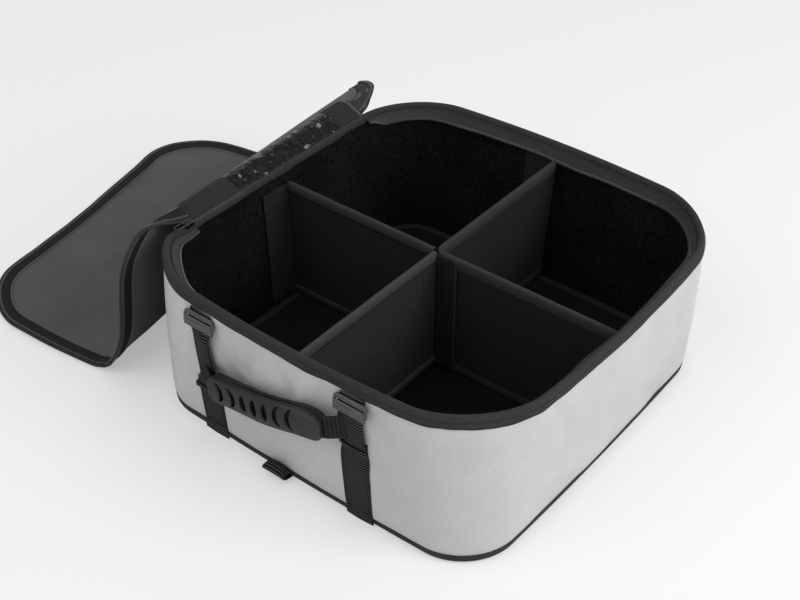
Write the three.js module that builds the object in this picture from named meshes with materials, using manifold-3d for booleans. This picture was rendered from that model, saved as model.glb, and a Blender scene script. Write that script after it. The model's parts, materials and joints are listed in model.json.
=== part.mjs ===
// Folding storage box: soft walls over boards, four dividers, a zip lid laid open and two strap handles.
// Millimetres, +Z up. X runs along the front face and Y to the back.
// The origin is at the middle of the base's underside.
import * as THREE from 'three';
import { mergeVertices } from 'three/addons/utils/BufferGeometryUtils.js';
import Module from 'manifold-3d';

const wasm = await Module();
wasm.setup();

// Outline of the walls at the base and at the rim
const BASE_HALF_X = 205.5;
const BASE_HALF_Y = 206.7;
const BASE_CORNER = 53;
const BASE_BOW = 4;
const BASE_SHIFT_Y = -4.5;
const RIM_HALF_X = 210;
const RIM_HALF_Y = 210;
const RIM_CORNER = 78;
const RIM_BOW = 15;
const HINGE_SIDE_BOW_SHARE = 0.13;
const WALL_HEIGHT = 172.5;

// Layers of the wall and of the base
const FIT_GAP = 0.3;
const SHELL_THICKNESS = 1.2;
const BOARD_THICKNESS = 2.5;
const LINING_THICKNESS = 1.2;
const BASE_CLOTH_THICKNESS = 1.2;
const BASE_BOARD_THICKNESS = 3;
const FLOOR_PAD_THICKNESS = 4;
const FLOOR_PAD_MARGIN = 1.6;
const FLOOR_PAD_EDGE_WIDTH = 9;
const BOARD_TOP_CLEARANCE = 6;
const BOARD_END_STATIONS = 0.1;

// Bindings and zip tape
const TAPE_THICKNESS = 1.2;
const RIM_BINDING_DEPTH = 17;
const RIM_BINDING_INNER_DEPTH = 12;
const BASE_BINDING_HEIGHT = 6;
const ZIP_TAPE_THICKNESS = 1;
const ZIP_TAPE_DEPTH = 18;
const ZIP_TAPE_TUCK = 3;
const ZIP_TAPE_END_STATIONS = 2;

// Dividers
const DIVIDER_THICKNESS = 4;
const DIVIDER_DROP = 16;
const DIVIDER_CENTRE_GAP = 0.5;
const DIVIDER_BINDING_DEPTH = 9;
const DIVIDER_BINDING_THICKNESS = 0.8;
const WALL_FLAP_WIDTH = 38;
const CENTRE_FLAP_WIDTH = 24;
const FLAP_THICKNESS = 1.2;
const FLAP_TRIM = 8;
const DIVIDER_CLEARANCE = 1;

// Straps, buckles and handles
const WEBBING_WIDTH = 30;
const WEBBING_THICKNESS = 1.6;
const STRAP_SPACING = 189;
const FRONT_HANDLE_X = -17;
const BACK_HANDLE_X = 4;
const STRAP_BOTTOM = 0.8;
const STRAP_LIFT = 0.9;
const STRAP_BEND_RISE = 1;
const STRAP_BEND_LENGTH = 5;
const BUCKLE_WIDTH = 39;
const BUCKLE_HEIGHT = 14;
const BUCKLE_THICKNESS = 4;
const BUCKLE_BAR = 2.6;
const GRIP_LENGTH = 146;
const GRIP_HEIGHT = 31;
const GRIP_THICKNESS = 12;
const GRIP_END_RADIUS = 12;
const GRIP_WEBBING_WIDTH = 25;
const GRIP_SLOT_CLEARANCE = 0.6;
const GRIP_STANDOFF = 16;
const GRIP_WALL_CLEARANCE = 1;
const FRONT_GRIP_HEIGHT_Z = 108;
const FRONT_GRIP_TILT = 8.5;
const BACK_GRIP_TILT = 0;
const GRIP_ELLIPSE_PITCH = 14;
const GRIP_ELLIPSE_RADII = [3.6, 9.5];
const GRIP_CRESCENT_HALF_HEIGHT = 12.4;
const GRIP_CRESCENT_OUTER_RADIUS = 12.6;
const GRIP_CRESCENT_INNER_RADIUS = 18;
const GRIP_CRESCENT_PLACES = [24, 40];
const GRIP_CRESCENT_STEPS = 6;

// Pull tab at the middle of the base
const BASE_TAB_X = -25;
const BASE_TAB_WIDTH = 28;
const BASE_TAB_LENGTH = 13;
const BASE_TAB_THICKNESS = 4;

// Zip slider and its puller
const SLIDER_LENGTH = 11;
const SLIDER_WIDTH = 8;
const SLIDER_HEIGHT = 3.6;
const SLIDER_Y = -142;
const PULLER_WIRE = 1.6;
const PULLER_WIDTH = 8;
const PULLER_LENGTH = 22;
const PULLER_END_RADIUS = 3.9;
const PULLER_HOLE_RADIUS = 2;

// Lid: three flat lengths hinged at the rim, at the crest of its fold and where it meets the floor
const LID_THICKNESS = 2.2;
const LID_BAND_WIDTH = 24;
const LID_BAND_LENGTH = 266;
const LID_EDGE_INSET = 4;
const LID_BORDER_WIDTH = 16;
const LID_AXIS_RELIEF = 1.5;
const LID_BAND_OPEN_ANGLE = 152;
const LID_DRAPE_OPEN_ANGLE = 254;
const LID_FLOOR_YAW = 10;
const LID_FLOOR_CLEARANCE = 0.4;
const LID_FOLD_HEIGHT = 3.5;
const LID_FOLD_PIVOT_Y = -205;
const LID_RIM_RELIEF = 1.2;
const HINGE_PATCH_FROM = -65;
const HINGE_PATCH_TO = 95;
const HINGE_PATCH_INSET = 10;
const HINGE_PATCH_THICKNESS = 0.8;

// Finishes
const shellCloth = new THREE.MeshStandardMaterial({ color: 0xb4b6b6, roughness: 0.55 });
const darkCloth = new THREE.MeshStandardMaterial({ color: 0x36383a, roughness: 0.85 });
const lidCloth = new THREE.MeshStandardMaterial({ color: 0x3c3e40, roughness: 0.7 });
const pileCloth = new THREE.MeshStandardMaterial({ color: 0x161718, roughness: 1 });
const bindingCloth = new THREE.MeshStandardMaterial({ color: 0x4a4c4e, roughness: 0.8 });
const zipCloth = new THREE.MeshStandardMaterial({ color: 0x1c1d1e, roughness: 0.8 });
const board = new THREE.MeshStandardMaterial({ color: 0x8a8478, roughness: 0.9 });
const dividerCloth = new THREE.MeshStandardMaterial({ color: 0x252627, roughness: 0.95 });
const webbing = new THREE.MeshStandardMaterial({ color: 0x2c2d2f, roughness: 0.8 });
const hardPlastic = new THREE.MeshStandardMaterial({ color: 0x303133, roughness: 0.4 });
const gripPlastic = new THREE.MeshStandardMaterial({ color: 0x47494b, roughness: 0.5 });
const zipMetal = new THREE.MeshStandardMaterial({ color: 0x6a6c6e, roughness: 0.3, metalness: 0.9 });
const patchFilm = new THREE.MeshStandardMaterial({ color: 0x6c6e70, roughness: 0.3 });

// Depths of the wall's layers, measured inwards from the outside of the shell
const BOARD_INSET = SHELL_THICKNESS + FIT_GAP;
const LINING_INSET = BOARD_INSET + BOARD_THICKNESS + FIT_GAP;
const LINED_INSET = LINING_INSET + LINING_THICKNESS + FIT_GAP;
const ZIP_TAPE_INSET = LINED_INSET + TAPE_THICKNESS + FIT_GAP;
const CLEAR_INSET = ZIP_TAPE_INSET + ZIP_TAPE_THICKNESS + FIT_GAP;

// Levels, from the ground up
const BASE_BOARD_BOTTOM = BASE_CLOTH_THICKNESS + FIT_GAP;
const LAYERS_BOTTOM = BASE_BOARD_BOTTOM + BASE_BOARD_THICKNESS + FIT_GAP;
const FLOOR_PAD_TOP = LAYERS_BOTTOM + FLOOR_PAD_THICKNESS;
const PAD_BINDING_TOP = FLOOR_PAD_TOP + FIT_GAP + TAPE_THICKNESS;
const DIVIDER_BOTTOM = PAD_BINDING_TOP + FIT_GAP;
const DIVIDER_TOP = WALL_HEIGHT - DIVIDER_DROP;
const RIM_TOP = WALL_HEIGHT + FIT_GAP + TAPE_THICKNESS;
const DIVIDER_HALF_BOUND = DIVIDER_THICKNESS / 2 + FIT_GAP + DIVIDER_BINDING_THICKNESS;
const DIVIDER_START = DIVIDER_HALF_BOUND + DIVIDER_CENTRE_GAP;
const ZIP_TAPE_TOP = WALL_HEIGHT - RIM_BINDING_INNER_DEPTH + ZIP_TAPE_TUCK;
const ZIP_TAPE_BOTTOM = ZIP_TAPE_TOP - ZIP_TAPE_DEPTH;

const object = new THREE.Group();

function addPiece(parent, name, geometry, material) {
	const mesh = new THREE.Mesh(geometry, material);
	mesh.name = name;
	parent.add(mesh);
	return mesh;
}

// Closed solid with shared corners and its faces turned outwards
function solid(geometry) {
	geometry.deleteAttribute('normal');
	geometry.deleteAttribute('uv');
	const closed = mergeVertices(geometry, 1e-4);
	const corners = closed.attributes.position;
	const index = closed.index;
	const [a, b, c] = [new THREE.Vector3(), new THREE.Vector3(), new THREE.Vector3()];
	let volume = 0;
	for (let i = 0; i < index.count; i += 3) {
		a.fromBufferAttribute(corners, index.getX(i));
		b.fromBufferAttribute(corners, index.getX(i + 1));
		c.fromBufferAttribute(corners, index.getX(i + 2));
		volume += a.dot(b.cross(c));
	}
	if (volume < 0) {
		index.array.reverse();
	}
	closed.computeVertexNormals();
	return closed;
}

function toManifold(geometry) {
	const closed = solid(geometry);
	const vertProperties = new Float32Array(closed.attributes.position.array);
	const triVerts = new Uint32Array(closed.index.array);
	return new wasm.Manifold(new wasm.Mesh({ numProp: 3, vertProperties, triVerts }));
}

function fromManifold(shape) {
	const mesh = shape.getMesh();
	const geometry = new THREE.BufferGeometry();
	geometry.setAttribute('position', new THREE.BufferAttribute(new Float32Array(mesh.vertProperties), 3));
	geometry.setIndex(new THREE.BufferAttribute(new Uint32Array(mesh.triVerts), 1));
	geometry.computeVertexNormals();
	return geometry;
}

// Outline of the wall at a height, anticlockwise from the front end of the right side
const SIDE_STEPS = 6;
const CORNER_STEPS = 8;
const QUARTER_STEPS = SIDE_STEPS + CORNER_STEPS;
const SIDE_START = { right: 0, back: QUARTER_STEPS, left: 2 * QUARTER_STEPS, front: 3 * QUARTER_STEPS };
const STATION_COUNT = 4 * QUARTER_STEPS;

function wallOutline(height, inset) {
	const rise = height / WALL_HEIGHT;
	const halfX = THREE.MathUtils.lerp(BASE_HALF_X, RIM_HALF_X, rise) - inset;
	const halfY = THREE.MathUtils.lerp(BASE_HALF_Y, RIM_HALF_Y, rise) - inset;
	const radius = THREE.MathUtils.lerp(BASE_CORNER, RIM_CORNER, rise) - inset;
	const bow = THREE.MathUtils.lerp(BASE_BOW, RIM_BOW, rise);
	const shiftY = THREE.MathUtils.lerp(BASE_SHIFT_Y, 0, rise);
	const corners = [[1, 1], [-1, 1], [-1, -1], [1, -1]];
	const points = [];
	corners.forEach(([signX, signY], quarter) => {
		const centre = new THREE.Vector2(signX * (halfX - radius), signY * (halfY - radius));
		const startAngle = quarter * Math.PI / 2;
		const outward = new THREE.Vector2(Math.cos(startAngle), Math.sin(startAngle));
		const along = new THREE.Vector2(-outward.y, outward.x);
		const straight = 2 * Math.abs(centre.dot(along));
		const arcStart = centre.clone().addScaledVector(outward, radius);
		for (let step = 0; step < SIDE_STEPS; step++) {
			const back = straight * (1 - step / SIDE_STEPS);
			points.push(arcStart.clone().addScaledVector(along, -back));
		}
		for (let step = 0; step < CORNER_STEPS; step++) {
			const angle = startAngle + step / CORNER_STEPS * Math.PI / 2;
			points.push(new THREE.Vector2(Math.cos(angle), Math.sin(angle)).multiplyScalar(radius).add(centre));
		}
	});
	return points.map((point) => {
		const shareX = point.x / halfX;
		const shareY = point.y / halfY;
		const bowX = point.x < 0 ? bow * HINGE_SIDE_BOW_SHARE : bow;
		const pushX = Math.sign(shareX) * bowX * (1 - shareY ** 2) * shareX ** 4;
		const pushY = Math.sign(shareY) * bow * (1 - shareX ** 2) * shareY ** 4;
		return new THREE.Vector2(point.x + pushX, point.y + pushY + shiftY);
	});
}

// Point of the wall at a station, which may lie between two corners of the outline
function wallPoint(station, height, inset) {
	const outline = wallOutline(height, inset);
	const whole = Math.floor(station);
	const from = outline[(whole + STATION_COUNT) % STATION_COUNT];
	const to = outline[(whole + 1 + STATION_COUNT) % STATION_COUNT];
	const flat = from.clone().lerp(to, station - whole);
	return new THREE.Vector3(flat.x, flat.y, height);
}

// Point of one side's wall at a given X on the front and back, or a given Y on the right and left
function facePoint(side, place, height, inset) {
	const outline = wallOutline(height, inset);
	const along = side === 'front' || side === 'back' ? 'x' : 'y';
	const start = SIDE_START[side] - CORNER_STEPS;
	const steps = SIDE_STEPS + 2 * CORNER_STEPS;
	for (let step = 0; step < steps; step++) {
		const from = outline[(start + step + STATION_COUNT) % STATION_COUNT];
		const to = outline[(start + step + 1 + STATION_COUNT) % STATION_COUNT];
		const share = (place - from[along]) / (to[along] - from[along]);
		if (share >= 0 && share <= 1) {
			const flat = from.clone().lerp(to, share);
			return new THREE.Vector3(flat.x, flat.y, height);
		}
	}
	throw new Error(`no ${side} wall at ${place}`);
}

// Closed ring that follows the whole wall, from a section of [inset, height] corners
function wallRing(section) {
	const profile = [...section, section[0]];
	const lathePoints = profile.map(([inset, height]) => new THREE.Vector2(RIM_HALF_X - inset, height));
	const geometry = new THREE.LatheGeometry(lathePoints, STATION_COUNT);
	const position = geometry.attributes.position;
	for (let i = 0; i < position.count; i++) {
		const station = Math.floor(i / profile.length) % STATION_COUNT;
		const [inset, height] = profile[i % profile.length];
		const point = wallPoint(station, height, inset);
		position.setXYZ(i, point.x, point.y, point.z);
	}
	return solid(geometry);
}

// Plate of constant thickness cut to the wall's outline
function wallPlate(bottom, thickness, inset) {
	const shape = new THREE.Shape(wallOutline(bottom, inset));
	const geometry = new THREE.ExtrudeGeometry(shape, { depth: thickness, bevelEnabled: false });
	geometry.translate(0, 0, bottom);
	return solid(geometry);
}

// Box bent along the wall: place(column, row, depth) gives each corner
function bentPanel(columns, rows, place) {
	const geometry = new THREE.BoxGeometry(1, 1, 1, columns, rows, 1);
	const position = geometry.attributes.position;
	for (let i = 0; i < position.count; i++) {
		const column = Math.round((position.getX(i) + 0.5) * columns);
		const row = Math.round((position.getY(i) + 0.5) * rows);
		const point = place(column, row, position.getZ(i) > 0 ? 1 : 0);
		position.setXYZ(i, point.x, point.y, point.z);
	}
	return solid(geometry);
}

// Length of a layer between two stations
function wallRun(from, to, bottom, top, inset, thickness) {
	const stations = [from];
	for (let station = Math.ceil(from + 1e-6); station < to - 1e-6; station++) {
		stations.push(station);
	}
	stations.push(to);
	return bentPanel(stations.length - 1, 1, (column, row, depth) =>
		wallPoint(stations[column], row ? top : bottom, inset + depth * thickness));
}

// Patch on one side's wall, between two places along it, through a list of [height, inset]
function facePatch(side, from, to, levels, thickness) {
	const columns = 2;
	return bentPanel(columns, levels.length - 1, (column, row, depth) => {
		const place = THREE.MathUtils.lerp(from, to, column / columns);
		const [height, inset] = levels[row];
		return facePoint(side, place, height, inset - depth * thickness);
	});
}

// Base and walls
function addWalls() {
	addPiece(object, 'base_cloth', wallPlate(0, BASE_CLOTH_THICKNESS, 0), darkCloth);
	addPiece(object, 'base_board', wallPlate(BASE_BOARD_BOTTOM, BASE_BOARD_THICKNESS, BOARD_INSET), board);
	const baseBindingOut = -FIT_GAP - TAPE_THICKNESS;
	addPiece(object, 'base_binding', wallRing([
		[baseBindingOut, FIT_GAP],
		[-FIT_GAP, FIT_GAP],
		[-FIT_GAP, BASE_BINDING_HEIGHT],
		[baseBindingOut, BASE_BINDING_HEIGHT],
	]), darkCloth);
	addPiece(object, 'outer_shell', wallRing([
		[0, BASE_BOARD_BOTTOM],
		[SHELL_THICKNESS, BASE_BOARD_BOTTOM],
		[SHELL_THICKNESS, WALL_HEIGHT],
		[0, WALL_HEIGHT],
	]), shellCloth);
	for (const side of ['front', 'right', 'back', 'left']) {
		const from = SIDE_START[side] + BOARD_END_STATIONS;
		const to = SIDE_START[side] + SIDE_STEPS - BOARD_END_STATIONS;
		const top = WALL_HEIGHT - BOARD_TOP_CLEARANCE;
		const panel = wallRun(from, to, LAYERS_BOTTOM, top, BOARD_INSET, BOARD_THICKNESS);
		addPiece(object, `stiffener_${side}`, panel, board);
	}
	const liningIn = LINING_INSET + LINING_THICKNESS;
	addPiece(object, 'wall_lining', wallRing([
		[LINING_INSET, LAYERS_BOTTOM],
		[liningIn, LAYERS_BOTTOM],
		[liningIn, WALL_HEIGHT],
		[LINING_INSET, WALL_HEIGHT],
	]), pileCloth);
}

// Tapes that finish the rim
function addRim() {
	const out = -FIT_GAP - TAPE_THICKNESS;
	const inner = LINED_INSET + TAPE_THICKNESS;
	const innerBottom = WALL_HEIGHT - RIM_BINDING_INNER_DEPTH;
	const outerBottom = WALL_HEIGHT - RIM_BINDING_DEPTH;
	addPiece(object, 'rim_binding', wallRing([
		[out, outerBottom],
		[-FIT_GAP, outerBottom],
		[-FIT_GAP, WALL_HEIGHT + FIT_GAP],
		[LINED_INSET, WALL_HEIGHT + FIT_GAP],
		[LINED_INSET, innerBottom],
		[inner, innerBottom],
		[inner, RIM_TOP],
		[out, RIM_TOP],
	]), bindingCloth);
	const tapeFrom = SIDE_START.left + SIDE_STEPS + ZIP_TAPE_END_STATIONS;
	const tapeTo = STATION_COUNT + SIDE_START.left - ZIP_TAPE_END_STATIONS;
	const tape = wallRun(tapeFrom, tapeTo, ZIP_TAPE_BOTTOM, ZIP_TAPE_TOP, ZIP_TAPE_INSET, ZIP_TAPE_THICKNESS);
	addPiece(object, 'rim_zip_tape', tape, zipCloth);
}

// Loose pad on the floor, with a bound edge
function addFloorPad() {
	const padInset = LINED_INSET + FLOOR_PAD_MARGIN;
	addPiece(object, 'floor_pad', wallPlate(LAYERS_BOTTOM, FLOOR_PAD_THICKNESS, padInset), dividerCloth);
	const out = padInset - FIT_GAP - TAPE_THICKNESS;
	const edge = padInset + FLOOR_PAD_EDGE_WIDTH;
	addPiece(object, 'floor_pad_binding', wallRing([
		[out, LAYERS_BOTTOM],
		[padInset - FIT_GAP, LAYERS_BOTTOM],
		[padInset - FIT_GAP, FLOOR_PAD_TOP + FIT_GAP],
		[edge, FLOOR_PAD_TOP + FIT_GAP],
		[edge, PAD_BINDING_TOP],
		[out, PAD_BINDING_TOP],
	]), bindingCloth);
}

// Distance from the middle of the box to the wall's layers along a divider
function reach(side, height, inset) {
	const middle = facePoint(side, 0, height, inset);
	return Math.abs(side === 'front' || side === 'back' ? middle.y : middle.x);
}

// Extruded outline drawn in reach and height, turned so that its reach points along +X
function uprightPlate(corners, thickness) {
	const shape = new THREE.Shape(corners.map(([across, height]) => new THREE.Vector2(across, height)));
	const geometry = new THREE.ExtrudeGeometry(shape, { depth: thickness, bevelEnabled: false });
	geometry.translate(0, 0, -thickness / 2);
	geometry.rotateX(Math.PI / 2);
	return solid(geometry);
}

// Divider panels that stand on the floor pad and meet at the middle
function addDividers() {
	const turns = { right: 0, back: 90, left: 180, front: 270 };
	for (const [side, turn] of Object.entries(turns)) {
		const station = new THREE.Group();
		station.rotation.z = THREE.MathUtils.degToRad(turn);
		object.add(station);
		const bindingReach = DIVIDER_BINDING_THICKNESS + FIT_GAP;
		const panelTop = DIVIDER_TOP - bindingReach;
		const tapeStep = ZIP_TAPE_BOTTOM - FIT_GAP - DIVIDER_CLEARANCE;
		const panel = uprightPlate([
			[DIVIDER_START, DIVIDER_BOTTOM],
			[reach(side, DIVIDER_BOTTOM, LINED_INSET), DIVIDER_BOTTOM],
			[reach(side, tapeStep, LINED_INSET), tapeStep],
			[reach(side, tapeStep, CLEAR_INSET), tapeStep],
			[reach(side, panelTop, CLEAR_INSET), panelTop],
			[DIVIDER_START, panelTop],
		], DIVIDER_THICKNESS);
		addPiece(station, `divider_${side}`, panel, dividerCloth);
		const length = reach(side, DIVIDER_TOP - DIVIDER_BINDING_DEPTH, CLEAR_INSET) - DIVIDER_START;
		const halfIn = DIVIDER_THICKNESS / 2 + FIT_GAP;
		const halfOut = DIVIDER_HALF_BOUND;
		const channel = new THREE.Shape([
			[-halfOut, -DIVIDER_BINDING_DEPTH],
			[-halfIn, -DIVIDER_BINDING_DEPTH],
			[-halfIn, -DIVIDER_BINDING_THICKNESS],
			[halfIn, -DIVIDER_BINDING_THICKNESS],
			[halfIn, -DIVIDER_BINDING_DEPTH],
			[halfOut, -DIVIDER_BINDING_DEPTH],
			[halfOut, 0],
			[-halfOut, 0],
		].map(([across, up]) => new THREE.Vector2(across, up)));
		const binding = new THREE.ExtrudeGeometry(channel, { depth: length, bevelEnabled: false });
		binding.rotateX(Math.PI / 2);
		binding.rotateZ(Math.PI / 2);
		binding.translate(DIVIDER_START, 0, DIVIDER_TOP);
		addPiece(station, `divider_${side}_binding`, solid(binding), bindingCloth);
	}
}

// End flaps that hold each divider: one folded onto the wall's lining, some folded onto the next divider
function addDividerFlaps() {
	const halfDivider = DIVIDER_THICKNESS / 2 + FIT_GAP;
	const top = ZIP_TAPE_BOTTOM - FLAP_TRIM;
	const bottom = DIVIDER_BOTTOM + FLAP_TRIM;
	const foldedTo = { front: 1, right: 1, back: -1, left: -1 };
	const levels = [
		[bottom, LINED_INSET + FLAP_THICKNESS],
		[top, LINED_INSET + FLAP_THICKNESS],
	];
	for (const [side, direction] of Object.entries(foldedTo)) {
		const near = direction * halfDivider;
		const far = direction * (halfDivider + WALL_FLAP_WIDTH);
		const flap = facePatch(side, Math.min(near, far), Math.max(near, far), levels, FLAP_THICKNESS);
		addPiece(object, `divider_${side}_wall_flap`, flap, dividerCloth);
	}
	const flapTop = DIVIDER_TOP - DIVIDER_BINDING_DEPTH - DIVIDER_CLEARANCE;
	const across = DIVIDER_THICKNESS / 2 + FIT_GAP + FLAP_THICKNESS / 2;
	const quarters = { divider_front_centre_flap: [1, -1], divider_back_centre_flap: [-1, 1] };
	for (const [name, [signX, signY]] of Object.entries(quarters)) {
		const geometry = new THREE.BoxGeometry(CENTRE_FLAP_WIDTH, FLAP_THICKNESS, flapTop - DIVIDER_BOTTOM);
		const x = signX * (DIVIDER_START + CENTRE_FLAP_WIDTH / 2);
		geometry.translate(x, signY * across, (flapTop + DIVIDER_BOTTOM) / 2);
		addPiece(object, name, solid(geometry), dividerCloth);
	}
}

function roundedRectangle(width, height, radius) {
	const [x, y] = [width / 2, height / 2];
	const shape = new THREE.Shape();
	shape.absarc(x - radius, y - radius, radius, 0, Math.PI / 2);
	shape.absarc(-x + radius, y - radius, radius, Math.PI / 2, Math.PI);
	shape.absarc(-x + radius, -y + radius, radius, Math.PI, Math.PI * 1.5);
	shape.absarc(x - radius, -y + radius, radius, Math.PI * 1.5, Math.PI * 2);
	return shape;
}

function rectanglePath(width, height, centreY) {
	const [x, y] = [width / 2, height / 2];
	return new THREE.Path([
		new THREE.Vector2(-x, centreY - y),
		new THREE.Vector2(-x, centreY + y),
		new THREE.Vector2(x, centreY + y),
		new THREE.Vector2(x, centreY - y),
	]);
}

// Moulded buckle with three bars
function buckle() {
	const shape = roundedRectangle(BUCKLE_WIDTH, BUCKLE_HEIGHT, BUCKLE_BAR);
	const slotHeight = (BUCKLE_HEIGHT - 3 * BUCKLE_BAR) / 2;
	const slotWidth = WEBBING_WIDTH + 2 * GRIP_SLOT_CLEARANCE;
	for (const sign of [-1, 1]) {
		shape.holes.push(rectanglePath(slotWidth, slotHeight, sign * (BUCKLE_BAR + slotHeight) / 2));
	}
	const geometry = new THREE.ExtrudeGeometry(shape, {
		depth: BUCKLE_THICKNESS,
		bevelEnabled: false,
		curveSegments: 4,
	});
	geometry.rotateX(Math.PI / 2);
	return geometry;
}

// Straps sewn up the wall and the buckles at their upper ends
function addStraps(face, centreX) {
	const sign = face === 'front' ? -1 : 1;
	const buckleTop = WALL_HEIGHT - RIM_BINDING_DEPTH - FIT_GAP;
	const buckleBottom = buckleTop - BUCKLE_HEIGHT;
	const strapTop = buckleBottom - FIT_GAP;
	const overBinding = -TAPE_THICKNESS - STRAP_LIFT;
	const bendBottom = BASE_BINDING_HEIGHT + STRAP_BEND_RISE;
	const levels = [
		[STRAP_BOTTOM, overBinding],
		[bendBottom, overBinding],
		[bendBottom + STRAP_BEND_LENGTH, -STRAP_LIFT],
		[strapTop / 2, -STRAP_LIFT],
		[strapTop, -STRAP_LIFT],
	];
	for (const [hand, handSign] of [['left', -1], ['right', 1]]) {
		const x = centreX + handSign * STRAP_SPACING / 2;
		const half = WEBBING_WIDTH / 2;
		const strap = facePatch(face, x - half, x + half, levels, WEBBING_THICKNESS);
		addPiece(object, `${face}_strap_${hand}`, strap, webbing);
		const middle = (buckleTop + buckleBottom) / 2;
		const seat = facePoint(face, x, buckleTop, 0);
		const lower = facePoint(face, x - BUCKLE_WIDTH / 2, buckleTop, 0);
		const upper = facePoint(face, x + BUCKLE_WIDTH / 2, buckleTop, 0);
		const outermost = Math.max(sign * seat.y, sign * lower.y, sign * upper.y);
		const place = new THREE.Group();
		place.position.set(x, sign * (outermost + FIT_GAP + (sign < 0 ? 0 : BUCKLE_THICKNESS)), middle);
		place.rotation.z = Math.atan2(upper.y - lower.y, BUCKLE_WIDTH);
		object.add(place);
		addPiece(place, `${face}_buckle_${hand}`, solid(buckle()), hardPlastic);
	}
}

function ellipsePath(x, radiusX, radiusY) {
	const path = new THREE.Path();
	path.absellipse(x, 0, radiusX, radiusY, 0, Math.PI * 2, true);
	return path;
}

// Crescent-shaped hole, with its horns away from the middle of the grip
function crescentPath(place, side) {
	const outer = GRIP_CRESCENT_OUTER_RADIUS;
	const inner = GRIP_CRESCENT_INNER_RADIUS;
	const outerAngle = Math.asin(GRIP_CRESCENT_HALF_HEIGHT / outer);
	const innerAngle = Math.asin(GRIP_CRESCENT_HALF_HEIGHT / inner);
	const horn = place + outer * (1 - Math.cos(outerAngle));
	const corners = [];
	for (let step = 0; step <= GRIP_CRESCENT_STEPS; step++) {
		const angle = THREE.MathUtils.lerp(-outerAngle, outerAngle, step / GRIP_CRESCENT_STEPS);
		const across = place + outer * (1 - Math.cos(angle));
		corners.push(new THREE.Vector2(side * across, outer * Math.sin(angle)));
	}
	for (let step = 1; step < GRIP_CRESCENT_STEPS; step++) {
		const angle = THREE.MathUtils.lerp(innerAngle, -innerAngle, step / GRIP_CRESCENT_STEPS);
		const across = horn - inner * (Math.cos(angle) - Math.cos(innerAngle));
		corners.push(new THREE.Vector2(side * across, inner * Math.sin(angle)));
	}
	return new THREE.Path(corners);
}

// Moulded sleeve with cut-outs in its face and a slot along it for the webbing
function gripSleeve() {
	const shape = roundedRectangle(GRIP_LENGTH, GRIP_HEIGHT, GRIP_END_RADIUS);
	for (const place of [-1, 0, 1]) {
		shape.holes.push(ellipsePath(place * GRIP_ELLIPSE_PITCH, ...GRIP_ELLIPSE_RADII));
	}
	for (const side of [-1, 1]) {
		for (const place of GRIP_CRESCENT_PLACES) {
			shape.holes.push(crescentPath(place, side));
		}
	}
	const sleeve = new THREE.ExtrudeGeometry(shape, {
		depth: GRIP_THICKNESS,
		bevelEnabled: false,
		curveSegments: 6,
	});
	sleeve.translate(0, 0, -GRIP_THICKNESS / 2);
	sleeve.rotateX(Math.PI / 2);
	const slotHeight = GRIP_WEBBING_WIDTH + 2 * GRIP_SLOT_CLEARANCE;
	const slotDepth = WEBBING_THICKNESS + 2 * GRIP_SLOT_CLEARANCE;
	const slot = new THREE.BoxGeometry(2 * GRIP_LENGTH, slotDepth, slotHeight);
	return fromManifold(toManifold(sleeve).subtract(toManifold(slot)));
}

// Webbing that runs through the sleeve and back to the straps at each end
function gripWebbing(tilt) {
	const level = (STRAP_SPACING - WEBBING_WIDTH) / 2 - 2 * FIT_GAP;
	const turn = THREE.MathUtils.degToRad(tilt);
	const halfSpan = (level - GRIP_WEBBING_WIDTH / 2 * Math.sin(turn)) / Math.cos(turn);
	const half = WEBBING_THICKNESS / 2;
	const innerBend = GRIP_LENGTH / 2 + FIT_GAP;
	const outerBend = innerBend + half;
	const shape = new THREE.Shape([
		new THREE.Vector2(-halfSpan, GRIP_STANDOFF),
		new THREE.Vector2(-outerBend, -half),
		new THREE.Vector2(outerBend, -half),
		new THREE.Vector2(halfSpan, GRIP_STANDOFF),
		new THREE.Vector2(halfSpan - WEBBING_THICKNESS, GRIP_STANDOFF),
		new THREE.Vector2(innerBend, half),
		new THREE.Vector2(-innerBend, half),
		new THREE.Vector2(-halfSpan + WEBBING_THICKNESS, GRIP_STANDOFF),
	]);
	const ribbon = new THREE.ExtrudeGeometry(shape, { depth: GRIP_WEBBING_WIDTH, bevelEnabled: false });
	ribbon.translate(0, 0, -GRIP_WEBBING_WIDTH / 2);
	return solid(ribbon);
}

// Handle held off the wall between its two straps
function addHandle(face, centreX, tilt) {
	const wall = facePoint(face, centreX, FRONT_GRIP_HEIGHT_Z, 0);
	const sign = face === 'front' ? -1 : 1;
	const place = new THREE.Group();
	place.position.set(centreX, wall.y + sign * (GRIP_STANDOFF + GRIP_WALL_CLEARANCE), FRONT_GRIP_HEIGHT_Z);
	place.rotation.order = 'ZYX';
	place.rotation.z = face === 'front' ? 0 : Math.PI;
	place.rotation.y = THREE.MathUtils.degToRad(-tilt);
	object.add(place);
	addPiece(place, `${face}_handle_grip`, gripSleeve(), gripPlastic);
	addPiece(place, `${face}_handle_webbing`, gripWebbing(tilt), webbing);
}

// Folded webbing tab that sticks out from under the front
function addBaseTab() {
	const seat = facePoint('front', BASE_TAB_X, STRAP_BOTTOM, -TAPE_THICKNESS - STRAP_LIFT);
	const geometry = new THREE.BoxGeometry(BASE_TAB_WIDTH, BASE_TAB_LENGTH, BASE_TAB_THICKNESS);
	geometry.translate(BASE_TAB_X, seat.y - BASE_TAB_LENGTH / 2, STRAP_BOTTOM + BASE_TAB_THICKNESS / 2);
	addPiece(object, 'base_tab_front', solid(geometry), webbing);
}

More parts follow.
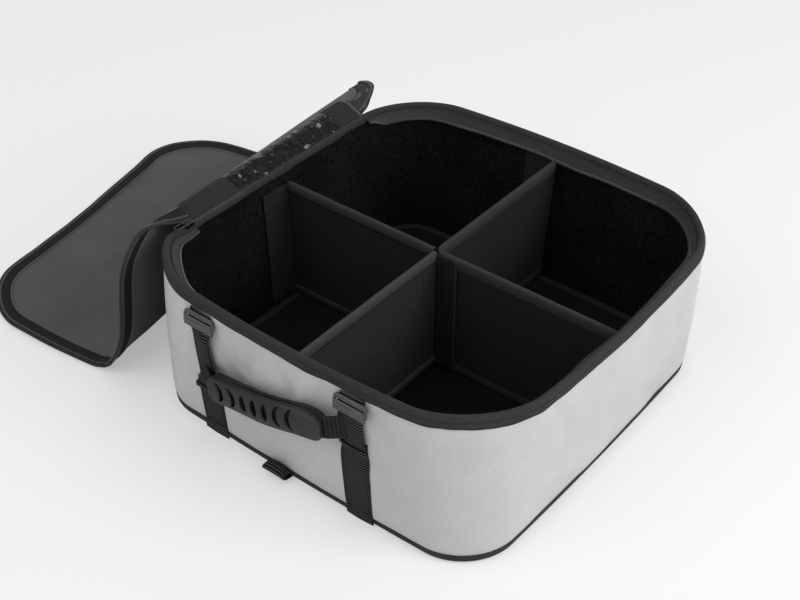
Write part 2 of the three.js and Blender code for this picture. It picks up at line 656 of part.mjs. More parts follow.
// Slider parked at the start of the zip, with a wire puller
function addZipSlider() {
	const seat = wallPoint(SIDE_START.left + SIDE_STEPS + 1, WALL_HEIGHT, 0);
	const bottom = RIM_TOP + FIT_GAP;
	const slider = new THREE.BoxGeometry(SLIDER_WIDTH, SLIDER_LENGTH, SLIDER_HEIGHT);
	slider.translate(seat.x + SLIDER_WIDTH / 2, SLIDER_Y, bottom + SLIDER_HEIGHT / 2);
	addPiece(object, 'zip_slider', solid(slider), zipMetal);
	const loop = roundedRectangle(PULLER_LENGTH, PULLER_WIDTH, PULLER_END_RADIUS);
	const holeLength = PULLER_LENGTH - 2 * PULLER_WIRE;
	const hole = roundedRectangle(holeLength, PULLER_WIDTH - 2 * PULLER_WIRE, PULLER_HOLE_RADIUS);
	loop.holes.push(hole);
	const puller = new THREE.ExtrudeGeometry(loop, {
		depth: PULLER_WIRE,
		bevelEnabled: false,
		curveSegments: 4,
	});
	puller.translate(-PULLER_LENGTH / 2 + PULLER_WIRE, 0, 0);
	puller.rotateZ(Math.PI / 2);
	const place = new THREE.Group();
	place.position.set(seat.x + SLIDER_WIDTH / 2, SLIDER_Y, bottom + SLIDER_HEIGHT + 2 * FIT_GAP);
	object.add(place);
	addPiece(place, 'zip_puller', solid(puller), zipMetal);
}

// Edge of the closed lid, from the front end of the hinge round the zip side to its back end
function lidEdge(inset) {
	const outline = wallOutline(WALL_HEIGHT, inset);
	const start = SIDE_START.left + SIDE_STEPS;
	const count = STATION_COUNT - SIDE_STEPS;
	const points = [];
	for (let step = 0; step <= count; step++) {
		points.push(outline[(start + step) % STATION_COUNT]);
	}
	return points;
}

// Stretch of that edge whose X lies between two values, on the front half, the back half or both
function edgeBetween(points, fromX, toX, halves) {
	const kept = [];
	const middle = (points.length - 1) / 2;
	for (let i = 0; i + 1 < points.length; i++) {
		const half = i < middle ? 'front' : 'back';
		const [a, b] = [points[i], points[i + 1]];
		const low = Math.max(Math.min(a.x, b.x), fromX);
		const high = Math.min(Math.max(a.x, b.x), toX);
		if (!halves.includes(half) || low > high) {
			continue;
		}
		const ends = Math.abs(b.x - a.x) < 1e-9 ? [0, 1] : [low, high].map((x) => (x - a.x) / (b.x - a.x));
		ends.sort((first, second) => first - second);
		for (const share of ends) {
			const point = a.clone().lerp(b, share);
			if (!kept.length || point.distanceTo(kept[kept.length - 1]) > 1e-6) {
				kept.push(point);
			}
		}
	}
	return kept;
}

// Flat length of the lid, drawn in closed place and moved so that its hinge point is the origin
function lidPlate(points, hingeX, hingeY, lift) {
	const shape = new THREE.Shape(points.map((point) => new THREE.Vector2(point.x - hingeX, point.y - hingeY)));
	const geometry = new THREE.ExtrudeGeometry(shape, { depth: LID_THICKNESS, bevelEnabled: false });
	geometry.translate(0, 0, lift - LID_THICKNESS / 2);
	return solid(geometry);
}

function turnAbout(axis, degrees) {
	return new THREE.Quaternion().setFromAxisAngle(axis, THREE.MathUtils.degToRad(degrees));
}

// Lid laid open: a narrow band rises from the rim, the drape hangs down and the rest lies on the floor
function addLid() {
	const everything = ['front', 'back'];
	const far = 2 * RIM_HALF_X;
	const hingeX = -wallOutline(WALL_HEIGHT, 0).reduce((least, point) => Math.max(least, -point.x), 0);
	const hingeZ = RIM_TOP + FIT_GAP + LID_THICKNESS / 2;
	const acrossAxis = new THREE.Vector3(0, 1, 0);
	const upAxis = new THREE.Vector3(0, 0, 1);
	const bandTurn = turnAbout(acrossAxis, -LID_BAND_OPEN_ANGLE);
	const drapeDrop = turnAbout(acrossAxis, -LID_DRAPE_OPEN_ANGLE);
	const drapeTurn = turnAbout(upAxis, LID_FLOOR_YAW / 2).multiply(drapeDrop);
	const floorTurn = turnAbout(upAxis, LID_FLOOR_YAW).multiply(turnAbout(acrossAxis, -180));
	const crestHeight = hingeZ + LID_BAND_WIDTH * Math.sin(THREE.MathUtils.degToRad(LID_BAND_OPEN_ANGLE));
	const drapeSlope = -Math.sin(THREE.MathUtils.degToRad(LID_DRAPE_OPEN_ANGLE));
	const drapeLength = (crestHeight - LID_FOLD_HEIGHT) / drapeSlope;
	const crestX = hingeX + LID_BAND_WIDTH;
	const foldX = crestX + drapeLength;
	const outer = lidEdge(LID_EDGE_INSET);
	const inner = lidEdge(LID_EDGE_INSET + LID_BORDER_WIDTH);
	const innerTape = lidEdge(LID_EDGE_INSET + LID_BORDER_WIDTH - FIT_GAP);

	const band = new THREE.Group();
	band.position.set(hingeX, 0, hingeZ);
	band.quaternion.copy(bandTurn);
	object.add(band);
	const stripWidth = LID_BAND_WIDTH - LID_AXIS_RELIEF - LID_RIM_RELIEF;
	const strip = new THREE.BoxGeometry(stripWidth, LID_BAND_LENGTH, LID_THICKNESS);
	strip.translate(LID_RIM_RELIEF + stripWidth / 2, 0, 0);
	addPiece(band, 'lid_hinge_band', solid(strip), lidCloth);
	const patchWidth = LID_BAND_WIDTH - HINGE_PATCH_INSET - LID_AXIS_RELIEF;
	const patch = new THREE.BoxGeometry(patchWidth, HINGE_PATCH_TO - HINGE_PATCH_FROM, HINGE_PATCH_THICKNESS);
	const patchDrop = LID_THICKNESS / 2 + FIT_GAP + HINGE_PATCH_THICKNESS / 2;
	patch.translate(HINGE_PATCH_INSET + patchWidth / 2, (HINGE_PATCH_FROM + HINGE_PATCH_TO) / 2, -patchDrop);
	addPiece(band, 'hinge_patch', solid(patch), patchFilm);

	const drape = new THREE.Group();
	const crestY = -LID_BAND_LENGTH / 2;
	drape.position.set(LID_BAND_WIDTH, crestY, 0);
	drape.quaternion.copy(bandTurn.clone().invert().multiply(drapeTurn));
	band.add(drape);
	const drapeFrom = crestX + LID_AXIS_RELIEF;
	const panelPoints = [
		...edgeBetween(inner, drapeFrom, foldX, ['front']),
		...edgeBetween(inner, drapeFrom, foldX, ['back']),
	];
	addPiece(drape, 'lid_panel_near', lidPlate(panelPoints, crestX, crestY, 0), lidCloth);
	for (const half of everything) {
		const points = [
			...edgeBetween(outer, drapeFrom, foldX, [half]),
			...edgeBetween(innerTape, drapeFrom, foldX, [half]).reverse(),
		];
		addPiece(drape, `lid_zip_tape_${half}`, lidPlate(points, crestX, crestY, 0), zipCloth);
	}

	const floorLid = new THREE.Group();
	floorLid.position.set(drapeLength, LID_FOLD_PIVOT_Y - crestY, 0);
	floorLid.quaternion.copy(drapeTurn.clone().invert().multiply(floorTurn));
	drape.add(floorLid);
	const floorFrom = foldX + LID_AXIS_RELIEF;
	const lift = LID_FOLD_HEIGHT - LID_FLOOR_CLEARANCE - LID_THICKNESS / 2;
	const farPoints = edgeBetween(inner, floorFrom, far, everything);
	addPiece(floorLid, 'lid_panel_far', lidPlate(farPoints, foldX, LID_FOLD_PIVOT_Y, lift), lidCloth);
	const tapePoints = [
		...edgeBetween(outer, floorFrom, far, everything),
		...edgeBetween(innerTape, floorFrom, far, everything).reverse(),
	];
	addPiece(floorLid, 'lid_zip_tape_end', lidPlate(tapePoints, foldX, LID_FOLD_PIVOT_Y, lift), zipCloth);
}

addWalls();
addRim();
addFloorPad();
addDividers();
addDividerFlaps();
addStraps('front', FRONT_HANDLE_X);
addStraps('back', BACK_HANDLE_X);
addHandle('front', FRONT_HANDLE_X, FRONT_GRIP_TILT);
addHandle('back', BACK_HANDLE_X, BACK_GRIP_TILT);
addBaseTab();
addZipSlider();
addLid();

export default object;
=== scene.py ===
# %% [markdown]
# A folding storage box: grey coated walls over boards, a dark lined inside with crossed dividers, a zip lid
# that is laid open over the left side, and strap handles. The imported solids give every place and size, and
# this script puts cloth, tape, webbing and plastic around them. All lengths are in metres.
# %% Load the frame
import json
import math
import bpy
import numpy as np
from mathutils import Matrix, Vector, geometry, noise


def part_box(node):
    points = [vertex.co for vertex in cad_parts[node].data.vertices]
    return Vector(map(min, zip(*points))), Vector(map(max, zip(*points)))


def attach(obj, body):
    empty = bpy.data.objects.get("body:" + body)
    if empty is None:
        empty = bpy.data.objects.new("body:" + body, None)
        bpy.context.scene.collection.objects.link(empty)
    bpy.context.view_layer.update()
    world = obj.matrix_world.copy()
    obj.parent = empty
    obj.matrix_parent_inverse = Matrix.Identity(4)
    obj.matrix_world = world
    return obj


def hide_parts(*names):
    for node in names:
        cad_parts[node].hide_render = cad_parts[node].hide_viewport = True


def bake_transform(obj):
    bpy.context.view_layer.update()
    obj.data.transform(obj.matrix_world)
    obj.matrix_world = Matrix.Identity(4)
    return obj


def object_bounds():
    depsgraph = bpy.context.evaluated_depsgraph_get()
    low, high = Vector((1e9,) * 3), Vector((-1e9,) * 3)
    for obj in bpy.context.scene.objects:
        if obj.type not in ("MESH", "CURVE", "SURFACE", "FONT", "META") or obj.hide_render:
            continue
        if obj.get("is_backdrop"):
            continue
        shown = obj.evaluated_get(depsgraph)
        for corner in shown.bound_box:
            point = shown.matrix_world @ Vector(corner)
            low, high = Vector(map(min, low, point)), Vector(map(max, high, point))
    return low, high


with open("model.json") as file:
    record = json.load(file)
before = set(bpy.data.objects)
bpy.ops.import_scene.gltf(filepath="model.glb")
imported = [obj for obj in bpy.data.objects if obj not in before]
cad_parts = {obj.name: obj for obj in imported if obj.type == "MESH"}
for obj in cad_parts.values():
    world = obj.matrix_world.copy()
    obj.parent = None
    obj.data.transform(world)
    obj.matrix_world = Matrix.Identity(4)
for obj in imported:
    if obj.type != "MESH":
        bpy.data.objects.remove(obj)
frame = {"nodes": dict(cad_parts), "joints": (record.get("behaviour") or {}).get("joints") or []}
cad_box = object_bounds()
MM = 0.001
UP = np.array([0.0, 0.0, 1.0])

# %% [markdown]
# The picture was taken from above the front right corner with a short telephoto view. The camera's place was
# found by matching the curves of the rim and the base, so it is written down once and looks at a fixed point.
# %% Camera
LENS = 61.2
CAMERA_PLACE = Vector((0.6620, -0.8908, 0.9562))
CAMERA_BACK = Vector((0.49170, -0.61687, 0.61457))
camera_data = bpy.data.cameras.new("camera")
camera_data.lens = LENS
camera_data.sensor_width = 36
camera = bpy.data.objects.new("camera", camera_data)
camera.location = CAMERA_PLACE
camera.rotation_euler = CAMERA_BACK.to_track_quat("Z", "Y").to_euler()
bpy.context.scene.collection.objects.link(camera)
bpy.context.scene.camera = camera
print("camera at", [round(c, 3) for c in camera.location])

# %% [markdown]
# Finishes are small node networks. One helper adds a node, sets its options and fills its inputs with values
# or with links from other nodes, so that each material below reads as a short recipe.
# %% Node helpers
def new_material(name, roughness, specular=0.5):
    """A material with its tree and its shader. What is even all over is set on the shader itself."""
    material = bpy.data.materials.new(name)
    material.use_nodes = True
    tree = material.node_tree
    shader = tree.nodes["Principled BSDF"]
    shader.inputs["Roughness"].default_value = roughness
    shader.inputs["Specular IOR Level"].default_value = specular
    return material, tree, shader


def add_node(tree, kind, inputs=None, **options):
    """A node of that kind. An input is a number, a colour or another node's output."""
    made = tree.nodes.new(kind)
    for key, value in options.items():
        setattr(made, key, value)
    for key, value in (inputs or {}).items():
        if isinstance(value, bpy.types.NodeSocket):
            tree.links.new(value, made.inputs[key])
        else:
            made.inputs[key].default_value = value
    return made


def calculate(tree, operation, first, second=0.0):
    """The output of one Math node."""
    return add_node(tree, "ShaderNodeMath", {0: first, 1: second}, operation=operation).outputs[0]


def weighed(tree, base, *parts):
    """A number plus values, each times its weight."""
    total = base
    for value, weight in parts:
        total = calculate(tree, "ADD", calculate(tree, "MULTIPLY", value, weight), total)
    return total


def place_noise(tree, scale, detail=3.0, roughness=0.5):
    """Cloudy noise that follows the place on the object, from 0 to 1. Scale is in features to the metre."""
    place = add_node(tree, "ShaderNodeTexCoord").outputs["Object"]
    inputs = {"Vector": place, "Scale": scale, "Detail": detail, "Roughness": roughness}
    return add_node(tree, "ShaderNodeTexNoise", inputs).outputs["Fac"]


def cloth_axes(tree):
    """The two directions of the cloth in metres, from the piece's UV map."""
    uv = add_node(tree, "ShaderNodeUVMap").outputs["UV"]
    parts = add_node(tree, "ShaderNodeSeparateXYZ", {"Vector": uv})
    return parts.outputs["X"], parts.outputs["Y"]


def threads(tree, axis, pitch):
    """A wave from -1 to 1 along one direction of the cloth, one turn to each pitch."""
    return calculate(tree, "SINE", calculate(tree, "MULTIPLY", axis, 2 * math.pi / pitch))


def span(tree, value, low, high, from_low=0.0, from_high=1.0):
    """The value moved from one range to another."""
    inputs = {"Value": value, "From Min": from_low, "From Max": from_high, "To Min": low, "To Max": high}
    return add_node(tree, "ShaderNodeMapRange", inputs).outputs["Result"]


def tone(tree, shader, colour, factor):
    """The colour times a factor around 1, as the shader's base colour."""
    scaled = add_node(tree, "ShaderNodeVectorMath", {0: colour, "Scale": factor}, operation="SCALE")
    tree.links.new(scaled.outputs["Vector"], shader.inputs["Base Color"])


def relief(tree, shader, height, depth):
    """Bump of that depth in metres from a height of 0 to 1."""
    bump = add_node(tree, "ShaderNodeBump", {"Height": height, "Distance": depth, "Strength": 1.0})
    tree.links.new(bump.outputs["Normal"], shader.inputs["Normal"])


print("node helpers ready")

# %% [markdown]
# Most of the box is woven cloth. A plain weave is two sets of threads that cross, so the product of two waves gives
# its chequer of raised threads. Slow noise adds the uneven tone of handled cloth; on the coated shell it is stronger
# and larger, and there it is also painted shade of soft folds. The threads' pitch is a real size because the UV maps
# are in metres.
# %% Woven finishes
def woven(name, grey, pitch, depth, roughness, mottling=0.12, mottle_scale=26.0, specular=0.1, grain=0.45):
    """Plain woven cloth of one grey."""
    material, tree, shader = new_material(name, roughness, specular)
    across, along = cloth_axes(tree)
    weave = calculate(tree, "MULTIPLY", threads(tree, across, pitch), threads(tree, along, pitch))
    cloudy = place_noise(tree, mottle_scale, 5.0, 0.6)
    fine = place_noise(tree, 420.0, 3.0, 0.7)
    even = 1.0 - mottling - grain
    shade = weighed(tree, even, (cloudy, 2 * mottling), (weave, 0.06), (fine, 2 * grain))
    tone(tree, shader, (grey, grey * 1.005, grey * 1.015), shade)
    relief(tree, shader, weighed(tree, 0.0, (weave, 0.5), (fine, 1.0)), depth)
    return material


def ribbed(name, grey, pitch, depth, roughness, painted_rib_shade=0.3):
    """Cloth with ribs that run across its length. The ribs' tone follows their relief: painted light on the crests
    and painted shade in the troughs.
    """
    material, tree, shader = new_material(name, roughness, 0.1)
    across, along = cloth_axes(tree)
    ribs = threads(tree, along, pitch)
    twill = threads(tree, across, pitch * 0.8)
    fine = place_noise(tree, 700.0, 3.0)
    cloudy = place_noise(tree, 30.0, 4.0)
    # painted light and shade: the rib wave lightens the crests and darkens the troughs, in step with the bump
    shade = weighed(tree, 0.68, (ribs, painted_rib_shade), (twill, 0.08), (fine, 0.35), (cloudy, 0.3))
    tone(tree, shader, (grey, grey, grey * 1.02), shade)
    relief(tree, shader, weighed(tree, 0.0, (ribs, 0.5), (fine, 0.5)), depth)
    return material


# the shell's strong, large mottling is partly random tone and partly painted shade of soft folds
shell_cloth = woven("coated_shell_cloth", 0.50, 0.9 * MM, 0.12 * MM, 0.5, mottling=0.14, mottle_scale=14.0,
                    specular=0.35, grain=0.13)
dark_cloth = woven("dark_base_cloth", 0.035, 0.9 * MM, 0.2 * MM, 0.8)
lid_cloth = woven("smooth_lid_cloth", 0.080, 0.8 * MM, 0.12 * MM, 0.6, mottling=0.32, mottle_scale=13.0,
                  specular=0.15, grain=0.12)
binding_tape = woven("binding_tape", 0.035, 1.3 * MM, 0.25 * MM, 0.8, mottling=0.2)
facing_tape = woven("pale_facing_tape", 0.047, 1.2 * MM, 0.2 * MM, 0.75, mottling=0.15)
zip_tape = ribbed("zip_tape", 0.013, 1.2 * MM, 0.2 * MM, 0.75)
panel_cloth = woven("divider_cloth", 0.019, 1.1 * MM, 0.3 * MM, 0.9, mottling=0.15)
pad_tape_cloth = woven("floor_pad_tape", 0.022, 1.2 * MM, 0.2 * MM, 0.8)
pad_cloth = woven("floor_pad_cloth", 0.009, 1.1 * MM, 0.3 * MM, 0.9, mottling=0.15)
rib_cloth = ribbed("ribbed_divider_cloth", 0.026, 3.0 * MM, 0.5 * MM, 0.9, painted_rib_shade=0.4)
# the webbing's strong rib tone is painted light on the crests and painted shade in the troughs
webbing = ribbed("ribbed_webbing", 0.024, 3.2 * MM, 1.4 * MM, 0.7, painted_rib_shade=1.9)
# its dark grey is partly the webbing's own and partly painted shade, for the strip seen in shade through the
# sleeve's cut-outs
handle_webbing = woven("handle_webbing", 0.022, 1.1 * MM, 0.2 * MM, 0.7)
thread = woven("stitching_thread", 0.030, 0.5 * MM, 0.1 * MM, 0.8)
print("woven finishes:", len(bpy.data.materials))

# %% [markdown]
# The lining is a black brushed pile. Seen from here it is a field of small dark tufts with a few lighter ones,
# so two sizes of noise drive both the tone and a strong bump.
# %% Pile, plastic, metal, film and board
def pile(name, grey):
    """Brushed pile of dark tufts."""
    material, tree, shader = new_material(name, 0.95, 0.04)
    tufts = place_noise(tree, 420.0, 4.0, 0.7)
    clumps = place_noise(tree, 130.0, 3.0, 0.6)
    patches = place_noise(tree, 14.0, 2.0)
    shade = calculate(tree, "MULTIPLY", span(tree, tufts, 0.3, 2.2, 0.36, 0.66), span(tree, clumps, 0.7, 1.3))
    shade = calculate(tree, "MULTIPLY", shade, span(tree, patches, 0.75, 1.25, 0.3, 0.7))
    tone(tree, shader, (grey, grey, grey * 1.02), shade)
    relief(tree, shader, calculate(tree, "ADD", tufts, clumps), 2.2 * MM)
    return material


def moulded(name, grey, roughness, texture=0.05, specular=0.5):
    """Moulded plastic with a fine spark-eroded texture and rubbed patches."""
    material, tree, shader = new_material(name, roughness, specular)
    grain = place_noise(tree, 1500.0, 2.0)
    rubbed = place_noise(tree, 60.0, 3.0)
    tone(tree, shader, (grey, grey, grey * 1.01), span(tree, grain, 0.88, 1.12))
    rough = span(tree, rubbed, roughness - 0.08, roughness + 0.1, 0.3, 0.7)
    tree.links.new(rough, shader.inputs["Roughness"])
    relief(tree, shader, grain, texture * MM)
    return material


def plated(name, grey):
    """Dark plated metal with scuffs."""
    material, tree, shader = new_material(name, 0.3)
    shader.inputs["Metallic"].default_value = 1.0
    scuffs = place_noise(tree, 400.0, 4.0)
    tone(tree, shader, (grey, grey, grey * 1.02), span(tree, scuffs, 0.8, 1.15))
    tree.links.new(span(tree, scuffs, 0.22, 0.5), shader.inputs["Roughness"])
    return material


def film(name, grey):
    """Glossy puckered film, with small pale spots in its colour that are painted glints where it is creased."""
    material, tree, shader = new_material(name, 0.16, 0.12)
    puckers = place_noise(tree, 150.0, 4.0, 0.6)
    painted_glints = place_noise(tree, 110.0, 2.0)
    # painted highlight: pale spots in the base colour stand in for glints on the creases
    tone(tree, shader, (grey, grey, grey * 1.02), span(tree, painted_glints, 0.6, 44.0, 0.62, 0.70))
    tree.links.new(span(tree, puckers, 0.06, 0.22), shader.inputs["Roughness"])
    relief(tree, shader, puckers, 2.5 * MM)
    return material


def greyboard(name):
    """Plain board pressed from fibres."""
    material, tree, shader = new_material(name, 0.9)
    fibres = place_noise(tree, 350.0, 6.0)
    tone(tree, shader, (0.45, 0.42, 0.37), span(tree, fibres, 0.8, 1.15))
    relief(tree, shader, fibres, 0.2 * MM)
    return material


pile_lining = pile("pile_lining", 0.0075)
grip_plastic = moulded("grip_plastic", 0.014, 0.42, 0.08, specular=0.22)
buckle_plastic = moulded("buckle_plastic", 0.050, 0.20)
coil_plastic = moulded("zip_coil", 0.125, 0.35)
zip_metal = plated("dark_zip_metal", 0.045)
patch_film = film("puckered_film", 0.004)
board = greyboard("greyboard")
print("finishes:", len(bpy.data.materials))

# %% [markdown]
# Nearly all of the cloth here is a grid of points: rows up a wall or across a tape, columns along it. The grid
# helper joins such points into faces and writes a UV map measured in metres along the cloth, so that every
# weave keeps its real scale. Thickness comes afterwards from a Solidify modifier.
# %% Mesh helpers
def add_piece(name, vertices, faces, uvs=None):
    """A smooth mesh object. uvs has one pair for each corner of each face."""
    mesh = bpy.data.meshes.new(name)
    mesh.from_pydata([tuple(v) for v in vertices], [], [tuple(int(i) for i in f) for f in faces])
    mesh.polygons.foreach_set("use_smooth", [True] * len(mesh.polygons))
    layer = mesh.uv_layers.new(name="cloth")
    if uvs is not None:
        layer.data.foreach_set("uv", np.asarray(uvs, float).reshape(-1))
    mesh.update()
    piece = bpy.data.objects.new(name, mesh)
    bpy.context.scene.collection.objects.link(piece)
    return piece


def grid_faces(rows, columns, closed=False, start=0):
    """Quads of a grid, and the row and column of each corner. A closed grid joins its last column to its first."""
    r, c = np.meshgrid(np.arange(rows - 1), np.arange(columns if closed else columns - 1), indexing="ij")
    corner_r = np.stack([r, r, r + 1, r + 1], -1).reshape(-1, 4)
    corner_c = np.stack([c, c + 1, c + 1, c], -1).reshape(-1, 4)
    return start + corner_r * columns + corner_c % columns, corner_r, corner_c


def lengths_along(line):
    """Distance of each point of a line from its start, along the line."""
    return np.concatenate([[0], np.cumsum(np.linalg.norm(np.diff(line, axis=0), axis=1))])


def middle_line(points, axis, closed=False):
    """Distance along the middle line of a grid in one direction, starting at zero."""
    line = points.take(points.shape[axis] // 2, axis=axis)
    return lengths_along(np.vstack([line, line[:1]]) if closed else line)


def grid_piece(name, points, closed=False, thickness=0.0, offset=0.0):
    """A grid of points, rows by columns, as cloth."""
    points = np.asarray(points, float)
    faces, corner_r, corner_c = grid_faces(points.shape[0], points.shape[1], closed)
    u = middle_line(points, 0, closed)
    v = middle_line(points, 1)
    uvs = np.stack([u[corner_c], v[corner_r]], -1)
    piece = add_piece(name, points.reshape(-1, 3), faces, uvs)
    if thickness:
        thicken(piece, thickness, offset)
    return piece


print("grid helpers ready")

# %% [markdown]
# Cloth gets its thickness from a Solidify modifier, and some pieces need other modifiers. Each one is turned into
# the mesh at once, so that the mesh holds the final shape.
# %% Modifiers
def settle(piece):
    """Turns the modifiers into the mesh."""
    evaluated = piece.evaluated_get(bpy.context.evaluated_depsgraph_get())
    mesh = bpy.data.meshes.new_from_object(evaluated)
    piece.modifiers.clear()
    piece.data = mesh
    return piece


def sharpen(piece, degrees):
    """Shades edges that turn by more than that as sharp."""
    piece.data.set_sharp_from_angle(angle=math.radians(degrees))
    return piece


def thicken(piece, thickness, offset=0.0):
    """Gives a cloth its thickness, to both sides of its grid or to one."""
    modifier = piece.modifiers.new("thickness", "SOLIDIFY")
    modifier.thickness = thickness
    modifier.offset = offset
    modifier.use_even_offset = False
    return sharpen(settle(piece), 50)


print("modifier helpers ready")

# %% [markdown]
# Bars, wires, pipings and bindings are one closed section carried along a path. The same few sums on points
# come back all through the script, so they get names here: a unit direction, a soft step and a smooth noise.
# %% Sweeps and sums
def unit(vectors):
    """Vectors of length one in the same directions."""
    return vectors / np.linalg.norm(vectors, axis=-1, keepdims=True)


def ease(share):
    """A soft step from 0 to 1."""
    return share ** 2 * (3 - 2 * share)


def at_height(flat, height=0.0):
    """Flat points lifted to one height."""
    return np.column_stack([flat, np.full(len(flat), height)])


def round_section(width, height, steps=10):
    """An oval section."""
    angles = np.linspace(0, 2 * math.pi, steps, endpoint=False)
    return np.column_stack([width / 2 * np.cos(angles), height / 2 * np.sin(angles)])


def sweep(name, path, sides, ups, section, closed=False):
    """A closed section carried along a path. Sides and ups hold one direction, or one for each point."""
    section, path = np.asarray(section, float), np.asarray(path, float)
    sides, ups = (np.broadcast_to(a, path.shape) for a in (sides, ups))
    rows = path[None] + section[:, 0, None, None] * sides[None] + section[:, 1, None, None] * ups[None]
    faces, corner_r, corner_c = grid_faces(len(section) + 1, len(path), closed)
    u = middle_line(rows, 0, closed)
    v = lengths_along(np.vstack([section, section[:1]]))
    uvs = np.stack([v[corner_r], u[corner_c]], -1)
    all_faces = [tuple(f) for f in faces % (len(section) * len(path))]
    all_uvs = list(uvs.reshape(-1, 2))
    if not closed:
        starts = np.arange(len(section)) * len(path)
        for end in (list(starts), list(starts[::-1] + len(path) - 1)):
            all_faces.append(tuple(end))
            all_uvs.extend([(0.0, 0.0)] * len(end))
    return sharpen(add_piece(name, rows.reshape(-1, 3), all_faces, np.array(all_uvs)), 45)


def join(pieces, name):
    """Several meshes as one piece."""
    bpy.ops.object.select_all(action="DESELECT")
    for piece in pieces:
        piece.select_set(True)
    bpy.context.view_layer.objects.active = pieces[0]
    bpy.ops.object.join()
    pieces[0].name = name
    pieces[0].data.name = name
    return pieces[0]


def dress(piece, material, body="root", stands_for=()):
    """Gives a piece its finish and the body that it moves with, and hides the nodes it replaces."""
    piece.data.materials.clear()
    piece.data.materials.append(material)
    if stands_for:
        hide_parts(*stands_for)
    if body:
        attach(piece, body)
    return piece


def clouds(points, size, seed=0.0):
    """Smooth noise from about -1 to 1 at each point, with features of that size."""
    shift = Vector((seed * 7.31, seed * 3.17, seed * 5.03))
    return np.array([noise.noise(Vector(p) / size + shift) for p in np.reshape(points, (-1, 3))])


print("sweep helpers ready")

# %% [markdown]
# Every layer of the walls follows one outline: a rounded rectangle with bowed sides that is wider and rounder
# at the rim than at the base. The outline is worked out for any height and any depth into the wall, so shell,
# lining, binding and floor pad all stay parallel, as they are on the sewn box.
# %% Outline of the walls
WALL_HEIGHT = 172.5 * MM
BASE = {"half_x": 205.5 * MM, "half_y": 206.7 * MM, "corner": 53 * MM, "bow": 4 * MM, "shift": -4.5 * MM}
RIM = {"half_x": 210 * MM, "half_y": 210 * MM, "corner": 78 * MM, "bow": 15 * MM, "shift": 0.0}
HINGE_SIDE_BOW_SHARE = 0.13
CORNER_SLUMP = 9 * MM
SLUMP_PLACE = np.array([-205 * MM, -174 * MM])
SLUMP_RADIUS = 42 * MM


def wall_sizes(height):
    """The outline's sizes at a height, between those of the base and of the rim."""
    rise = np.asarray(height, float) / WALL_HEIGHT
    return {key: BASE[key] + (RIM[key] - BASE[key]) * rise for key in BASE}


def outline_factors(side_steps, corner_steps):
    """For each point round the outline, its share of the straight part and of the corner's radius in x and y."""
    factors = []
    for quarter in range(4):
        turn = quarter * math.pi / 2
        ahead = np.array([-math.sin(turn), math.cos(turn)])
        out = np.array([math.cos(turn), math.sin(turn)])
        for step in range(side_steps):
            along = -1 + 2 * step / side_steps
            factors.append([*(out + along * ahead), *out])
        for step in range(corner_steps):
            angle = turn + step / corner_steps * math.pi / 2
            factors.append([*(out + ahead), math.cos(angle), math.sin(angle)])
    return np.round(np.array(factors), 12)


def ring(height, inset, factors, slump=CORNER_SLUMP):
    """The outline at that height, that far inside the shell's outer face. The near left corner slumps outwards."""
    size = wall_sizes(height)
    half_x, half_y = size["half_x"] - inset, size["half_y"] - inset
    corner = size["corner"] - inset
    share_x, share_y, turn_x, turn_y = factors.T
    x = share_x * (half_x - corner) + turn_x * corner
    y = share_y * (half_y - corner) + turn_y * corner
    bow_x = np.where(x < 0, HINGE_SIDE_BOW_SHARE, 1.0) * size["bow"]
    bowed_x = x + np.sign(x) * bow_x * (1 - (y / half_y) ** 2) * (x / half_x) ** 4
    bowed_y = y + np.sign(y) * size["bow"] * (1 - (x / half_x) ** 2) * (y / half_y) ** 4 + size["shift"]
    reach = ((bowed_x - SLUMP_PLACE[0]) ** 2 + (bowed_y - SLUMP_PLACE[1]) ** 2) / SLUMP_RADIUS ** 2
    past_board = np.clip((-bowed_y - 143 * MM) / (26 * MM), 0, 1)
    slumped_x = bowed_x - slump * height / WALL_HEIGHT * np.exp(-reach) * ease(past_board)
    return np.stack([slumped_x, bowed_y, np.broadcast_to(height, x.shape)], -1)


WALL = outline_factors(64, 32)
OUTWARD = at_height(WALL[:, 2:4])


def face_point(side, place, height, out=0.0):
    """A point on a flat face of the wall. Place runs along x on the front and back, along y on the others."""
    size = wall_sizes(height)
    if side in ("front", "back"):
        sign = -1 if side == "front" else 1
        reach = size["half_y"] + size["bow"] * (1 - (place / size["half_x"]) ** 2) + out
        return np.array([place, sign * reach + size["shift"], height])
    sign = -1 if side == "left" else 1
    share = HINGE_SIDE_BOW_SHARE if side == "left" else 1.0
    reach = size["half_x"] + share * size["bow"] * (1 - (place / size["half_y"]) ** 2) + out
    return np.array([sign * reach, place + size["shift"], height])


rim_width = np.ptp(ring(WALL_HEIGHT, 0, WALL)[:, 0])
print("outline of", len(WALL), "points,", round(rim_width / MM), "mm wide at the rim")

# %% [markdown]
# The shell is one strip of coated cloth sewn round the box. Cloth over a board doesn't lie flat: it puffs
# between its seams, and the straps pull folds into the front. A smooth function of the place pushes each point
# out or in, and the straps later ask the same function where the cloth lies. Folds are short lines with a
# depth that fades with the distance from them.
# %% Shape of the shell cloth
SHELL_THICKNESS = 1.2 * MM
FRONT_FOLDS = [
    # from x, z to x, z, half-width and depth in millimetres
    (-98, 140, -62, 92, 9, 2.6),
    (-78, 150, -66, 118, 6, 1.6),
    (-40, 152, -52, 118, 8, 1.8),
    (-12, 150, 4, 122, 7, 1.6),
    (28, 150, 16, 120, 8, -1.4),
    (48, 146, 60, 96, 8, 2.2),
    (-92, 92, -70, 58, 8, 1.6),
    (-60, 60, -20, 20, 12, 1.2),
    (98, 84, 122, 50, 11, 1.3),
    (100, 150, 118, 120, 8, 1.4),
    (-134, 120, -146, 70, 9, -1.3),
]
